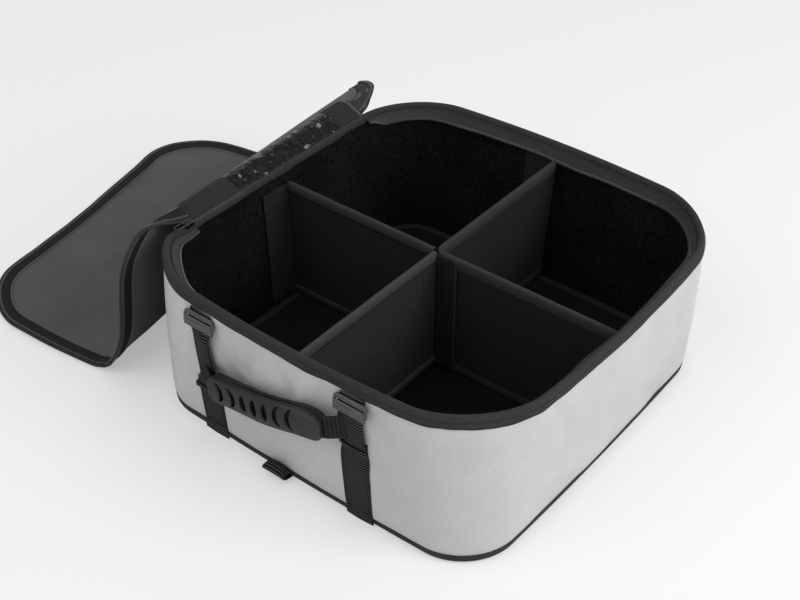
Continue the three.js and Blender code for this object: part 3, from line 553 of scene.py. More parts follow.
SIDE_FOLDS = [
    (-120, 152, -96, 112, 9, 1.5),
    (-40, 154, -30, 122, 9, 1.2),
    (40, 152, 62, 116, 10, 1.4),
    (118, 150, 104, 110, 9, 1.6),
    (60, 40, 100, 14, 12, 1.0),
    (-90, 50, -40, 24, 12, -1.0),
]


def fold_depth(place, height, folds):
    """Depth of the folds at places along a wall."""
    total = np.zeros_like(height)
    spot = np.stack([place, height], -1)
    for x0, z0, x1, z1, half_width, depth in folds:
        start = np.array([x0, z0]) * MM
        run = np.array([x1, z1]) * MM - start
        share = np.clip((spot - start) @ run / (run @ run), 0, 1)
        distance = np.linalg.norm(spot - start - share[:, None] * run, axis=1)
        total += depth * MM * np.exp(-((distance / (half_width * MM)) ** 2))
    return total


def shell_swell(points):
    """How far the shell cloth stands out from its smooth outline at each point."""
    points = np.reshape(points, (-1, 3))
    x, y, z = points.T
    held = np.clip(z / (14 * MM), 0, 1) * np.clip((WALL_HEIGHT - z) / (22 * MM), 0, 1)
    puff = 3.2 * MM * np.sin(math.pi * np.clip(z / (158 * MM), 0, 1)) ** 0.5
    waves = 1.3 * MM * clouds(points, 60 * MM, 1) + 0.5 * MM * clouds(points, 22 * MM, 2)
    front = np.clip((-y - 150 * MM) / (40 * MM), 0, 1)
    back = np.clip((y - 150 * MM) / (40 * MM), 0, 1)
    side = np.clip((np.abs(x) - 150 * MM) / (40 * MM), 0, 1) * (1 - np.maximum(front, back))
    folds = front * fold_depth(x, z, FRONT_FOLDS) + back * fold_depth(-x, z, FRONT_FOLDS)
    folds = folds + side * fold_depth(y, z, SIDE_FOLDS)
    return np.maximum(held * (puff + waves - 1.8 * folds), -0.2 * MM)


def on_shell(side, place, height, lift):
    """A point that lies that far above the cloth of the shell."""
    flat = face_point(side, place, height)
    swell = float(shell_swell(flat[None])[0])
    return face_point(side, place, height, swell + lift)


shell_levels = np.concatenate([[1.5 * MM, 3 * MM], np.linspace(6 * MM, WALL_HEIGHT - 1 * MM, 70)])
shell_rows = []
for level in shell_levels:
    smooth = ring(level, 0.0, WALL)
    shell_rows.append(smooth + OUTWARD * shell_swell(smooth)[:, None])
shell = grid_piece("shell", shell_rows, closed=True, thickness=SHELL_THICKNESS, offset=1.0)
dress(shell, shell_cloth, stands_for=["outer_shell"])
around = float(lengths_along(ring(WALL_HEIGHT / 2, 0, WALL))[-1])
print("shell of", len(shell.data.polygons), "faces,", round(around, 3), "m round")

# %% [markdown]
# The foot of the shell is bound with a narrow tape, and a dark base cloth closes the bottom. The tape is a
# closed section carried round the outline. A section is easiest to draw as the line that the middle of the
# tape follows, so a helper thickens such a line into a closed loop. Stitches are tiny grains of thread set
# one after the other along a line, because at this size each one still shows as a dot.
# %% Tapes and stitches
TAPE = 1.2 * MM


def thick_line(line, thickness):
    """A closed section from an open line: out along one side and back along the other."""
    line = np.asarray(line, float)
    run = np.gradient(line, axis=0)
    normal = unit(np.column_stack([run[:, 1], -run[:, 0]]))
    return np.vstack([line + normal * thickness / 2, (line - normal * thickness / 2)[::-1]])


def wall_tape(name, section, shift=None):
    """A closed section of inset and height carried round the walls. Shift moves each point out and up."""
    rows = []
    for inset, height in np.vstack([section, section[:1]]):
        row = ring(height, inset, WALL)
        rows.append(row if shift is None else row + shift(row, inset, height))
    return sharpen(grid_piece(name, rows, closed=True), 50)


GRAIN = np.array([(0.5, 0, 0), (0.3, 0.5, 0), (0.3, 0, 0.5), (0.3, -0.5, 0), (0.3, 0, -0.5),
                  (-0.3, 0.5, 0), (-0.3, 0, 0.5), (-0.3, -0.5, 0), (-0.3, 0, -0.5), (-0.5, 0, 0)])
GRAIN_FACES = ([(0, a, a % 4 + 1) for a in range(1, 5)]
               + [(a, a + 4, a % 4 + 5, a % 4 + 1) for a in range(1, 5)]
               + [(9, a % 4 + 5, a + 4) for a in range(1, 5)])


def resample(line, pitch):
    """Points at an even pitch along a line, and the direction at each."""
    line = np.asarray(line, float)
    lengths = lengths_along(line)
    at = np.arange(pitch / 2, lengths[-1], pitch)
    points = np.stack([np.interp(at, lengths, line[:, k]) for k in range(3)], -1)
    ahead = np.stack([np.interp(at + pitch / 4, lengths, line[:, k]) for k in range(3)], -1) - points
    return points, ahead / (np.linalg.norm(ahead, axis=1)[:, None] + 1e-12)


def stitches(name, lines, pitch=3.4 * MM, length=2.5 * MM, width=0.8 * MM):
    """Rows of stitches. Each line is a list of points."""
    vertices, faces = [], []
    for line in lines:
        points, ahead = resample(line, pitch)
        for point, run in zip(points, ahead):
            side = np.cross(run, UP)
            side = side / np.linalg.norm(side) if np.linalg.norm(side) > 0.1 else np.array([1.0, 0, 0])
            top = np.cross(side, run)
            axes = np.stack([run * length, side * width, top * width])
            start = len(vertices)
            vertices.extend(point + GRAIN @ axes)
            faces.extend(tuple(start + i for i in face) for face in GRAIN_FACES)
    return add_piece(name, vertices, faces)


def shrunk(row, share):
    """A ring of points drawn in towards its middle."""
    middle = row.mean(axis=0)
    return middle + (row - middle) * [share, share, 1]


# the tape's line is given as inset and height in millimetres
base_line = np.array([(-2.3, 9.5), (-2.1, 3), (0, 0.9), (6, 0.7)]) * MM
base_binding = wall_tape("base_tape", thick_line(base_line, 0.9 * MM))
dress(base_binding, binding_tape, stands_for=["base_binding"])
base_edge = ring(0.9 * MM, 2 * MM, WALL)
base_rings = [shrunk(base_edge, share) for share in (1, 0.985, 0.95, 0.8, 0.6, 0.4, 0.2, 0.0005)]
base_panel = grid_piece("base_panel", base_rings, closed=True, thickness=0.8 * MM)
dress(base_panel, dark_cloth, stands_for=["base_cloth"])
print("base tape and panel made")

# %% [markdown]
# A wide tape folds over the rim and is sewn through with two rows of stitches. The shell puckers under it, so
# its lower edge runs in gentle waves, which a slow noise along the outline gives. A paler facing lies below it
# on the inside and leans away from the wall, because the rim's half of the zip is sewn to its edge.
# %% Rim binding and facing
RIM_TOP = 174 * MM


def pucker(row, inset, height):
    """Waves of the tape's lower edge, strongest at the edge and gone at the top."""
    low = np.clip((RIM_TOP - 4 * MM - height) / (10 * MM), 0, 1)
    wave = clouds(row * [1, 1, 0], 34 * MM, 3) + 0.7 * clouds(row * [1, 1, 0], 15 * MM, 3.5)
    puff = shell_swell(ring(height - 3 * MM, 0, WALL)) * 0.6
    rise = low * 3.0 * MM * wave
    return OUTWARD * (puff + low * 0.7 * MM * wave)[:, None] + UP * rise[:, None]


outer_leg = [(-1.2, 161.2), (-1.5, 163), (-1.5, 165), (-1.4, 168), (-1.2, 170.4)]
over_top = [(-0.4, 172.6), (0.8, 173.7), (2.1, 174.1), (3.4, 173.7), (4.5, 172.6)]
inner_leg = [(5.2, 170.8), (5.4, 168.6), (5.2, 166.6)]
rim_line = np.array(outer_leg + over_top + inner_leg) * MM
rim_binding = wall_tape("rim_tape", thick_line(rim_line, TAPE), shift=pucker)
dress(rim_binding, binding_tape, stands_for=["rim_binding"])


def wall_line(inset, height):
    """A closed line round the walls that follows the tape's waves."""
    row = ring(height, inset, WALL)
    row = row + pucker(row, inset, height)
    return np.vstack([row, row[:1]])


rim_stitches = stitches("rim_stitches", [wall_line(-2.3 * MM, 162.4 * MM), wall_line(-2.2 * MM, 169 * MM)])
dress(rim_stitches, thread)

HINGE_HALF = 133 * MM


def off_hinge(factors):
    """The outline's factors without the hinge, from the hinge's near end round to its far end."""
    on_hinge = (factors[:, 2] < -0.999) & (np.abs(ring(WALL_HEIGHT, 0, factors)[:, 1]) < HINGE_HALF)
    hinge_end = np.flatnonzero(on_hinge)[-1] + 1
    return np.roll(factors, -hinge_end, axis=0)[: len(factors) - on_hinge.sum()]


ZIP_FACTORS = off_hinge(WALL)
ZIP_OUTWARD = at_height(ZIP_FACTORS[:, 2:4])
FACING_TOP = 169 * MM
FACING_DROP = 11.5 * MM


def facing_lean(share):
    """How far the facing's lower edge leans in from the wall, from its start at the near corner to its end."""
    curl = 3 * MM * np.exp(-((share - 0.05) / 0.035) ** 2)
    crumple = 3 * MM * np.exp(-((share - 0.46) / 0.02) ** 2)
    return 3.2 * MM + curl + crumple


zip_share = np.linspace(0, 1, len(ZIP_FACTORS))
zip_ends = np.clip(np.minimum(zip_share / 0.12, (1 - zip_share) / 0.02), 0.2, 1)
zip_ends = zip_ends * (1 + 0.16 * clouds(ring(WALL_HEIGHT, 0, ZIP_FACTORS), 45 * MM, 4.5))
facing_rows = []
for down in np.linspace(0, 1, 7):
    inset = 6.8 * MM + facing_lean(zip_share) * down ** 1.3
    height = FACING_TOP - FACING_DROP * down * zip_ends
    row = ring(height, inset, ZIP_FACTORS)
    facing_rows.append(row + ZIP_OUTWARD * (0.5 * MM * clouds(row, 30 * MM, 4))[:, None])
facing = grid_piece("rim_facing", facing_rows, thickness=0.8 * MM)
dress(facing, facing_tape, stands_for=["rim_zip_tape"])
facing_length = float(lengths_along(facing_rows[0])[-1])
stitch_count = len(rim_stitches.data.polygons) // len(GRAIN_FACES)
print("rim tape with", stitch_count, "stitches, facing", round(facing_length, 3), "m long")

# %% [markdown]
# A spiral zip is a nylon coil sewn along the edge of a tape. The coil is a helix, so it is worked out from the
# line that it follows: each turn goes once round a flat oval. One helper makes the coil for the rim here and
# for the lid later.
# %% Zip coil
COIL_PITCH = 3.0 * MM
TURN_STEPS = 10


def coil_mesh(name, line, ups, half_width=1.5 * MM, half_height=0.5 * MM, wire=0.4 * MM):
    """A helix of round wire along a line. Ups has the direction across the coil's flat side at each point."""
    line = np.asarray(line, float)
    ups = np.broadcast_to(ups, line.shape)
    lengths = lengths_along(line)
    at = np.arange(0, lengths[-1], COIL_PITCH / TURN_STEPS)
    centre = np.stack([np.interp(at, lengths, line[:, k]) for k in range(3)], -1)
    top = np.stack([np.interp(at, lengths, ups[:, k]) for k in range(3)], -1)
    ahead = unit(np.gradient(centre, axis=0))
    side = unit(np.cross(ahead, top))
    top = np.cross(side, ahead)
    turn = (at / COIL_PITCH * 2 * math.pi)[:, None]
    out = side * np.cos(turn) + top * np.sin(turn)
    wind = centre + side * half_width * np.cos(turn) + top * half_height * np.sin(turn)
    rows = []
    for angle in (0, 90, 180, 270, 0):
        angle = math.radians(angle)
        rows.append(wind + wire * (out * math.cos(angle) + ahead * math.sin(angle)))
    return grid_piece(name, np.array(rows))


coil_line = ring(FACING_TOP - FACING_DROP * zip_ends, 7.6 * MM + facing_lean(zip_share), ZIP_FACTORS)
rim_coil = coil_mesh("rim_zip_coil", coil_line, UP, half_width=1.9 * MM, half_height=0.9 * MM, wire=0.6 * MM)
dress(rim_coil, coil_plastic)
print("rim coil of", len(rim_coil.data.polygons), "faces")

# %% [markdown]
# The inside is lined with brushed pile cloth. It hangs in soft upright folds, so the grid is pushed in by a
# noise that is long in height and short along the wall, and a second, finer noise lifts the tufts themselves.
# %% Lining
LINING_INSET = 5.2 * MM
LINING_LEVELS = np.linspace(5.5 * MM, 170 * MM, 84)
FINE_WALL = outline_factors(128, 48)
FINE_OUTWARD = at_height(FINE_WALL[:, 2:4])
lining_rows = []
for level in LINING_LEVELS:
    tuck = max(0.0, (level - 156 * MM) / (14 * MM))
    row = ring(level, LINING_INSET - 1.3 * MM * tuck, FINE_WALL)
    folds = clouds(row * [1, 1, 0.22], 26 * MM, 5)
    tufts = clouds(row, 3.2 * MM, 6)
    slack = (0.4 + 0.6 * level / WALL_HEIGHT) * (1 - tuck)
    push = 1.0 * MM * slack * folds + 0.3 * MM * tufts
    lining_rows.append(row - FINE_OUTWARD * push[:, None])
lining = grid_piece("lining", lining_rows, closed=True)
dress(lining, pile_lining, stands_for=["wall_lining"])
print("lining of", len(lining.data.polygons), "faces")

# %% [markdown]
# The floor pad is a covered board with a bound edge and large round corners. It is a padded piece: rings of
# points shrink to the middle, and the height swells a little between the edge and the middle.
# %% Floor pad
PAD_BOTTOM = 4.9 * MM
PAD_TOP = 8.9 * MM
PAD_INSET = 7.6 * MM
pad_low = ring(PAD_BOTTOM, PAD_INSET, WALL)
pad_rows = [shrunk(pad_low, share) for share in (0.0005, 0.5, 1.0)]
for share in (1.0, 0.99, 0.96, 0.92, 0.85, 0.75, 0.62, 0.48, 0.33, 0.18, 0.0005):
    row = shrunk(ring(PAD_TOP, PAD_INSET, WALL), share)
    crown = 0.6 * MM * math.sin(math.pi * min(1, (1 - share) / 0.4))
    row[:, 2] += crown + 0.3 * MM * clouds(row, 50 * MM, 7)
    pad_rows.append(row)
pad = grid_piece("floor_cushion", pad_rows, closed=True)
dress(pad, pad_cloth, stands_for=["floor_pad"])
pad_tape = [(0.2, -0.6), (0.4, 0.6), (2, 1.25), (5, 1.35), (8, 1.2), (9, 0.5), (8.6, -0.3)]
pad_section = np.array(pad_tape) * MM + [PAD_INSET, PAD_TOP]
pad_binding = wall_tape("floor_cushion_tape", pad_section)
dress(pad_binding, pad_tape_cloth, stands_for=["floor_pad_binding"])
pad_seam = ring(PAD_TOP + 1.4 * MM, PAD_INSET + 7.4 * MM, WALL)
dress(stitches("floor_cushion_stitches", [np.vstack([pad_seam, pad_seam[:1]])]), thread)
print("floor pad made")

# %% [markdown]
# Four covered boards cross in the middle. The back and right ones read as one board folded round a soft
# corner, and the front and left ones stop just short of it. Each board is carried along a path seen from
# above, and its outer end follows the wall's lean, so each height has its own length. Tape binds the top and
# bottom edges.
# %% Divider paths
DIVIDER_HALF = 2.0 * MM
DIVIDER_LOW = 10.6 * MM
DIVIDER_HIGH = 156.5 * MM
CORNER = 9 * MM
WALL_CLEAR = 8.8 * MM


def divider_path(side, height):
    """The middle line of one board at one height, from the centre out to the wall, and its across direction."""
    end = face_point(side, 0.0, height, -WALL_CLEAR)
    if side in ("left", "right"):
        end[1] = 0.0
    if side in ("front", "left"):
        start = np.array([0.0, -3.8 * MM]) if side == "front" else np.array([-3.8 * MM, 0.0])
        points = [start + (end[:2] - start) * t for t in np.linspace(0, 1, 40)]
    else:
        arc = []
        for angle in np.linspace(math.pi / 4, 0, 8):
            near, far = CORNER * (1 - math.cos(angle)), CORNER * (1 - math.sin(angle))
            arc.append(np.array([near, far]) if side == "back" else np.array([far, near]))
        points = arc + [arc[-1] + (end[:2] - arc[-1]) * t for t in np.linspace(0, 1, 33)[1:]]
    points = np.array(points)
    run = np.gradient(points, axis=0)
    return points, unit(np.column_stack([-run[:, 1], run[:, 0]]))


def divider_wall(side, out, height):
    """Points at a distance to one side of the board's middle line."""
    points, across = divider_path(side, height)
    return at_height(points + across * np.reshape(out, (-1, 1)), height)


def tape_over_edge(side, level, direction, name):
    """The binding over the top edge, or under the bottom one when direction is -1, with closed ends."""
    half, depth = 2.9, 11.2
    section = [(-half, -depth), (-half - 0.2, -depth * 0.6), (-half, -1.2), (-half * 0.6, 0.1), (0, 0.5),
               (half * 0.6, 0.1), (half, -1.2), (half + 0.2, -depth * 0.6), (half, -depth),
               (half - 0.8, -depth), (-half + 0.8, -depth)]
    rows = []
    for out, down in section + section[:1]:
        row = divider_wall(side, out * MM, level + direction * down * MM)
        row[:, 2] += direction * 0.5 * MM * clouds(row * [1, 1, 0], 30 * MM, 8)
        rows.append(row)
    rows = np.array(rows)
    middle = rows.mean(axis=0)
    near, far = (np.repeat(middle[end][None, None], len(rows), 0) for end in (0, -1))
    return grid_piece(name, np.concatenate([near, rows, far], 1))


print("front board is", round(np.ptp(divider_path("front", DIVIDER_HIGH)[0][:, 1]), 3), "m long at its top")

# %% [markdown]
# The front board is covered with a ribbed cloth whose ribs run level, and the others with a plain weave. The
# faces swell by a fraction of a millimetre, and a row of stitches runs down each board near the centre.
# %% Divider boards
def divider_board(side, material):
    """One board with the tapes over its edges and its stitches."""
    levels = np.linspace(DIVIDER_LOW, DIVIDER_HIGH - 1 * MM, 36)
    loop_rows = []
    for level in levels:
        swell = 0.5 * MM * clouds(at_height(divider_path(side, level)[0], level), 45 * MM, 9)
        left = divider_wall(side, DIVIDER_HALF + swell, level)
        right = divider_wall(side, -DIVIDER_HALF + swell, level)
        loop_rows.append(np.vstack([left, right[::-1]]))
    board_piece = sharpen(grid_piece(f"divider_{side}_board", loop_rows, closed=True), 50)
    dress(board_piece, material, stands_for=[f"divider_{side}"])
    top = tape_over_edge(side, DIVIDER_HIGH, 1, f"{side}_top_tape")
    low = tape_over_edge(side, DIVIDER_LOW, -1, f"{side}_low_tape")
    finish = facing_tape if side == "front" else binding_tape
    dress(join([top, low], f"divider_{side}_tapes"), finish, stands_for=[f"divider_{side}_binding"])
    lines = []
    for out in (3.3 * MM, -3.3 * MM):
        lines.append(divider_wall(side, out, DIVIDER_HIGH - 9 * MM))
        lines.append([divider_wall(side, out * 0.8, level)[4] for level in levels])
    dress(stitches(f"divider_{side}_stitches", lines), thread)


for side in ("front", "right", "back", "left"):
    divider_board(side, rib_cloth if side == "front" else panel_cloth)
print("four dividers made")

# %% [markdown]
# Each board ends in a flap that grips the wall's pile, and two boards have a flap at the centre too. A flap
# is a strip of cloth that leaves the board in a small bend, so its first few points curve from the board's
# face to the wall.
# %% Divider flaps
FLAP_WIDTH = 38 * MM
CENTRE_FLAP_WIDTH = 22 * MM
FLAP_TURN = {"front": 1, "right": 1, "back": -1, "left": -1}


def wall_flap(side):
    """A strip on the wall beside the end of a board, from top to bottom."""
    turn = FLAP_TURN[side]
    rows = []
    for level in np.linspace(DIVIDER_LOW + 3 * MM, DIVIDER_HIGH - 2 * MM, 40):
        row = []
        for step, place in enumerate(np.linspace(2.6 * MM, FLAP_WIDTH, 14)):
            rise = 2.4 * MM * math.exp(-step / 1.5)
            ripple = 0.35 * MM * noise.noise(Vector((place / 0.02, level / 0.05, turn * 3.0)))
            shift = wall_sizes(level)["shift"] if side in ("left", "right") else 0.0
            row.append(face_point(side, turn * place - shift, level, -7.3 * MM - rise - ripple))
        rows.append(row)
    flap = grid_piece(f"divider_{side}_flap", rows, thickness=1.0 * MM)
    dress(flap, panel_cloth, stands_for=[f"divider_{side}_wall_flap"])
    rows = np.array(rows)
    inward = unit(rows[:, 5].mean(axis=0) * [-1, -1, 0])
    edge = rows[:, -2] + (rows[:, -3] - rows[:, -2]) * 0.2 + inward * 0.8 * MM
    dress(stitches(f"divider_{side}_flap_stitches", [edge]), thread)


for side in FLAP_TURN:
    wall_flap(side)


def centre_flap(name, node, along, out):
    """A bound strip that lies on a neighbouring board beside the centre."""
    along, out = np.array([*along, 0.0]), np.array([*out, 0.0])
    rows = []
    for level in np.linspace(DIVIDER_LOW + 2 * MM, DIVIDER_HIGH - 3 * MM, 30):
        row = []
        for place in np.linspace(0, CENTRE_FLAP_WIDTH, 10):
            lift = DIVIDER_HALF + 1.5 * MM + 1.2 * MM * math.exp(-place / (3 * MM))
            row.append(along * (4.2 * MM + place) + out * lift + UP * level)
        rows.append(row)
    rows = np.array(rows)
    dress(grid_piece(name, rows, thickness=1.0 * MM), panel_cloth, stands_for=[node])
    edge_section = np.array([(-1.2, -0.9), (1.0, -0.9), (1.2, 0), (1.0, 0.9), (-1.2, 0.9)]) * MM
    dress(sweep(name + "_edge", rows[:, -1], along, out, edge_section), binding_tape)
    lines = [rows[:, column] + out * 0.9 * MM for column in (4, 7)]
    dress(stitches(name + "_stitches", lines), thread)


centre_flap("centre_flap_right", "divider_front_centre_flap", (1, 0), (0, -1))
centre_flap("centre_flap_left", "divider_back_centre_flap", (-1, 0), (0, 1))
print("flaps made")

# %% [markdown]
# A strap is woven webbing sewn under the base tape. It runs up the shell, is folded back at a seam where the
# handle's webbing comes out from under it, and ends in a loop round the buckle. It is drawn as a ribbon: a
# middle line on the shell, a width at each point and a little twist, so the slack left strap can narrow.
# %% Straps
WEBBING_THICKNESS = 1.5 * MM
STRAPS = {
    "front": {"left": -111.5 * MM, "right": 77.5 * MM},
    "back": {"left": -90.5 * MM, "right": 98.5 * MM},
}


def ribbon(name, side, centre, stations):
    """A strap up the shell. A station is a level, a lift off the cloth, a width, a shift to the side and a twist."""
    levels, *tracks = np.array(stations, float).T
    heights = np.linspace(levels[0], levels[-1], 90)
    sign = 1 if side == "front" else -1
    rows = []
    for level, *at in zip(heights, *(np.interp(heights, levels, track) for track in tracks)):
        lift, wide, slide, twist = at
        row = []
        for share in np.linspace(-0.5, 0.5, 9):
            place = sign * slide + share * wide * math.cos(twist)
            out = lift + share * wide * math.sin(twist) + 0.3 * math.cos(2 * math.pi * share)
            row.append(on_shell(side, centre + place * MM, level * MM, out * MM))
        rows.append(row)
    return grid_piece(name, rows, thickness=WEBBING_THICKNESS)


def strap(side, hand):
    """One strap: its lower and upper lengths, the hem at the seam, the loop round the buckle and the stitches."""
    centre = STRAPS[side][hand]
    slack = side == "front" and hand == "left"
    seam, narrow = (60, 21) if slack else (97, 28.5)
    wide = 31.5
    hanging = [(seam + 22, 5.4, narrow + 3, 4, 0.1), (132, 6.4, narrow, 1, 0.15)]
    taut = [(seam + 22, 5.4, narrow + 3, -1, 0.02), (132, 5.0, narrow, -1, 0.02)]
    lengths = {
        "low": [(0.3, 3.4, wide, 0, 0), (7, 3.2, wide, 0, 0), (13, 1.4, wide, 0, 0), (50, 1.5, wide, 0, 0),
                (seam, 2.2, wide, 0, 0), (seam + 12, 1.6, wide, 0, 0)],
        "high": [(seam, 4.4, wide, 0, 0), (seam + 6, 4.2, wide - 1, 0, 0), *(hanging if slack else taut),
                 (144, 4.6, 27.5, 0, 0.02), (150, 5.6, 28, 0, 0)],
        "hem": [(seam + 0.5, 5.8, wide + 0.6, 0, 0), (seam + 6, 5.6, wide, 0, 0)],
        "loop": [(147, 6.6, 27, 0, 0), (153, 5.6, 27, 0, 0), (160, 2.4, 27, 0, 0)],
    }
    name = f"{side}_strap_{hand}"
    ribbons = [ribbon(f"{name}_{part}", side, centre, stations) for part, stations in lengths.items()]
    dress(join(ribbons, f"{name}_webbing"), webbing, stands_for=[name])
    rows = []
    for level, half, lift in ((15, 13, 2.6), (19, 13, 2.6), (seam + 3, 12.5, 6.9)):
        rows.append([on_shell(side, centre + s * MM, level * MM, lift * MM) for s in np.linspace(-half, half, 24)])
    for place in (-13, 13):
        levels = np.linspace(15, seam - 4, 40) * MM
        rows.append([on_shell(side, centre + place * MM, level, 2.7 * MM) for level in levels])
    dress(stitches(f"{name}_stitches", rows), thread)


for side, hands in STRAPS.items():
    for hand in hands:
        strap(side, hand)
print("straps made")

# %% [markdown]
# Each strap hangs from a buckle: a moulded ladder with ridged bars across it and a rounded frame. The frame and
# the bars are sections carried round or along a path, joined to one piece with soft edges.
# %% Buckles
BUCKLE_HALF = 17.9 * MM
BUCKLE_LEVEL = 149.5 * MM
BUCKLE_LEAN = math.radians(9)
# each bar's level, width, thickness and lift in millimetres
BUCKLE_BARS = ((-3.4, 4.6, 3.2, 0.9), (0.9, 3.4, 2.8, 1.5), (4.6, 2.4, 2.4, 0.3), (-7.4, 3.4, 2.6, 0.4))
LOOP_CORNERS = ((1, 1, 0), (-1, 1, 90), (-1, -1, 180), (1, -1, 270))


def rounded_loop(half_x, half_y, high_corner, low_corner, steps):
    """A flat closed loop with round corners, the upper and the lower two each with their own radius."""
    loop = []
    for sx, sy, start in LOOP_CORNERS:
        corner = high_corner if sy > 0 else low_corner
        for angle in np.radians(np.linspace(start, start + 90, steps)):
            x = sx * (half_x - corner) + corner * math.cos(angle)
            loop.append((x, sy * (half_y - corner) + corner * math.sin(angle)))
    return np.array(loop)


def closed_run(path):
    """The direction along a closed path at each point."""
    return unit(np.roll(path, -1, axis=0) - np.roll(path, 1, axis=0))


def buckle(side, hand):
    """One buckle that leans back against the shell."""
    spot = on_shell(side, STRAPS[side][hand], BUCKLE_LEVEL, 5.4 * MM)
    level_out = np.array([0, -1.0 if side == "front" else 1.0, 0])
    right = np.cross(UP, level_out)
    up = UP * math.cos(BUCKLE_LEAN) - level_out * math.sin(BUCKLE_LEAN)
    out = level_out * math.cos(BUCKLE_LEAN) + UP * math.sin(BUCKLE_LEAN)
    loop = rounded_loop(BUCKLE_HALF, 7.2 * MM, 4.2 * MM, 4.2 * MM, 7)
    path = spot + loop[:, :1] * right + loop[:, 1:] * up
    section = round_section(3.2 * MM, 3.4 * MM)
    parts = [sweep("frame", path, np.cross(closed_run(path), out), out, section, closed=True)]
    for level, wide, thick, lift in BUCKLE_BARS:
        across = np.linspace(-BUCKLE_HALF, BUCKLE_HALF, 12)[:, None] * right
        bar = spot + across + level * MM * up + lift * MM * out
        parts.append(sweep("bar", bar, up, out, round_section(wide * MM, thick * MM)))
    piece = join(parts, f"{side}_buckle_{hand}_ladder")
    dress(piece, buckle_plastic, stands_for=[f"{side}_buckle_{hand}"])


for side, hands in STRAPS.items():
    for hand in hands:
        buckle(side, hand)
print("buckles made")

# %% [markdown]
# The handle is webbing threaded through a moulded sleeve with crescents and ovals cut out of it. The packed
# solid has the cut-outs already, so its mesh is copied, remeshed to small even cells, smoothed so that every
# edge gets a moulded radius, and then bent along its length to sag a little in the middle.
# %% Handle sleeves
GRIP_CENTRE = {"front": (-17 * MM, -238.14 * MM, 108 * MM), "back": (4 * MM, 234.92 * MM, 108 * MM)}
GRIP_TILT = {"front": math.radians(8.5), "back": 0.0}
GRIP_SAG = 4.5 * MM
GRIP_HALF = 73 * MM
FRONT_DROP = 8.5 * MM
CUT_OUT_SHIFT = 12 * MM


def sag(x, centre_x):
    """How far the handle hangs below a straight line at a place along it. The front one hangs lower on its left."""
    share = np.clip((x - centre_x) / (95 * MM), -1, 1)
    slack = np.clip((0.75 - share) / 0.9, 0, 1) * (centre_x < 0)
    return GRIP_SAG * (1 - share ** 2) + FRONT_DROP * ease(slack)


def handle_sleeve(side):
    """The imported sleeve, made smooth and bent."""
    node = frame["nodes"][f"{side}_handle_grip"]
    piece = bpy.data.objects.new(f"{side}_grip_sleeve", node.data.copy())
    bpy.context.scene.collection.objects.link(piece)
    weld = piece.modifiers.new("weld", "WELD")
    weld.merge_threshold = 0.01 * MM
    cells = piece.modifiers.new("cells", "REMESH")
    cells.mode = "VOXEL"
    cells.voxel_size = 0.6 * MM
    soft = piece.modifiers.new("soft", "SMOOTH")
    soft.factor = 0.5
    soft.iterations = 4
    settle(piece)
    points = np.array([v.co for v in piece.data.vertices])
    centre = np.array(GRIP_CENTRE[side])
    sign = -1.0 if side == "front" else 1.0
    if side == "front":
        past = np.clip((np.abs(points[:, 0] - centre[0]) - 48 * MM) / (24 * MM), 0, 1)
        points[:, 0] -= CUT_OUT_SHIFT * (1 - ease(past))
    out = (points[:, 1] - centre[1]) * sign
    share = (points[:, 0] - centre[0]) / GRIP_HALF
    hang = sag(points[:, 0], centre[0])
    points[:, 2] -= hang - GRIP_SAG * 0.5
    rounding = np.clip(np.abs(points[:, 2] - centre[2] + hang) / (15.5 * MM), 0, 1.2) ** 2
    points[:, 1] -= sign * np.where(out > 0, 2.0 * MM * rounding, 0) * np.clip(1.1 - share ** 2, 0, 1)
    piece.data.vertices.foreach_set("co", points.reshape(-1))
    piece.data.polygons.foreach_set("use_smooth", [True] * len(piece.data.polygons))
    piece.data.update()
    dress(piece, grip_plastic, body=f"{side}_handle", stands_for=[f"{side}_handle_grip"])
    print(piece.name, "of", len(piece.data.polygons), "faces")


handle_sleeve("front")
handle_sleeve("back")

# %% [markdown]
# The handle's webbing has deep cross ribs that show at each end of the sleeve. The ribs are real geometry: the strip
# has a point every half millimetre and a wave across its thickness. Its ends are sewn to the straps, which stay put.
# A piece can only bend across one joint between two places, so the strip is made in two halves.
# %% Handle webbing
RIB_PITCH = 4.0 * MM
STRIP_WIDTH = 24.5 * MM


def handle_strip(side, hand):
    """One half of the webbing, from the middle of the sleeve out to the strap."""
    sign_x = 1 if hand == "right" else -1
    out_sign = -1.0 if side == "front" else 1.0
    centre = np.array(GRIP_CENTRE[side])
    tilt = GRIP_TILT[side]
    wall = abs(on_shell(side, STRAPS[side][hand], 112 * MM, 3.4 * MM)[1])
    stand = abs(centre[1])
    run_x = np.array([0, 60, 72, 80, 86, 94, 108]) * MM
    run_y = np.array([stand, stand, stand - 0.4 * MM, stand - 5 * MM, wall + 4 * MM, wall + 0.6 * MM, wall])
    reach = 99 if side == "front" and hand == "left" else 108
    along = np.arange(0, reach * MM, 0.5 * MM)
    depth = np.interp(along, run_x, run_y)
    depth = np.convolve(np.pad(depth, 7, mode="edge"), np.ones(15) / 15, mode="valid")
    lengths = lengths_along(np.column_stack([along, depth]))
    rows = []
    for share in np.linspace(-0.5, 0.5, 9):
        x = centre[0] + sign_x * along
        drop = sag(x, centre[0]) - GRIP_SAG * 0.5
        level = centre[2] + sign_x * along * math.sin(tilt) - drop + share * STRIP_WIDTH
        lean = -share * STRIP_WIDTH * math.sin(tilt)
        rib = 1.1 * MM * np.sin(2 * math.pi * lengths / RIB_PITCH) * (1 - (2 * share) ** 6)
        rows.append(np.column_stack([x + lean, out_sign * (depth + rib), level]))
    piece = grid_piece(f"{side}_handle_webbing_{hand}", rows, thickness=WEBBING_THICKNESS)
    dress(piece, handle_webbing, body=None, stands_for=[f"{side}_handle_webbing"])
    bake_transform(piece)


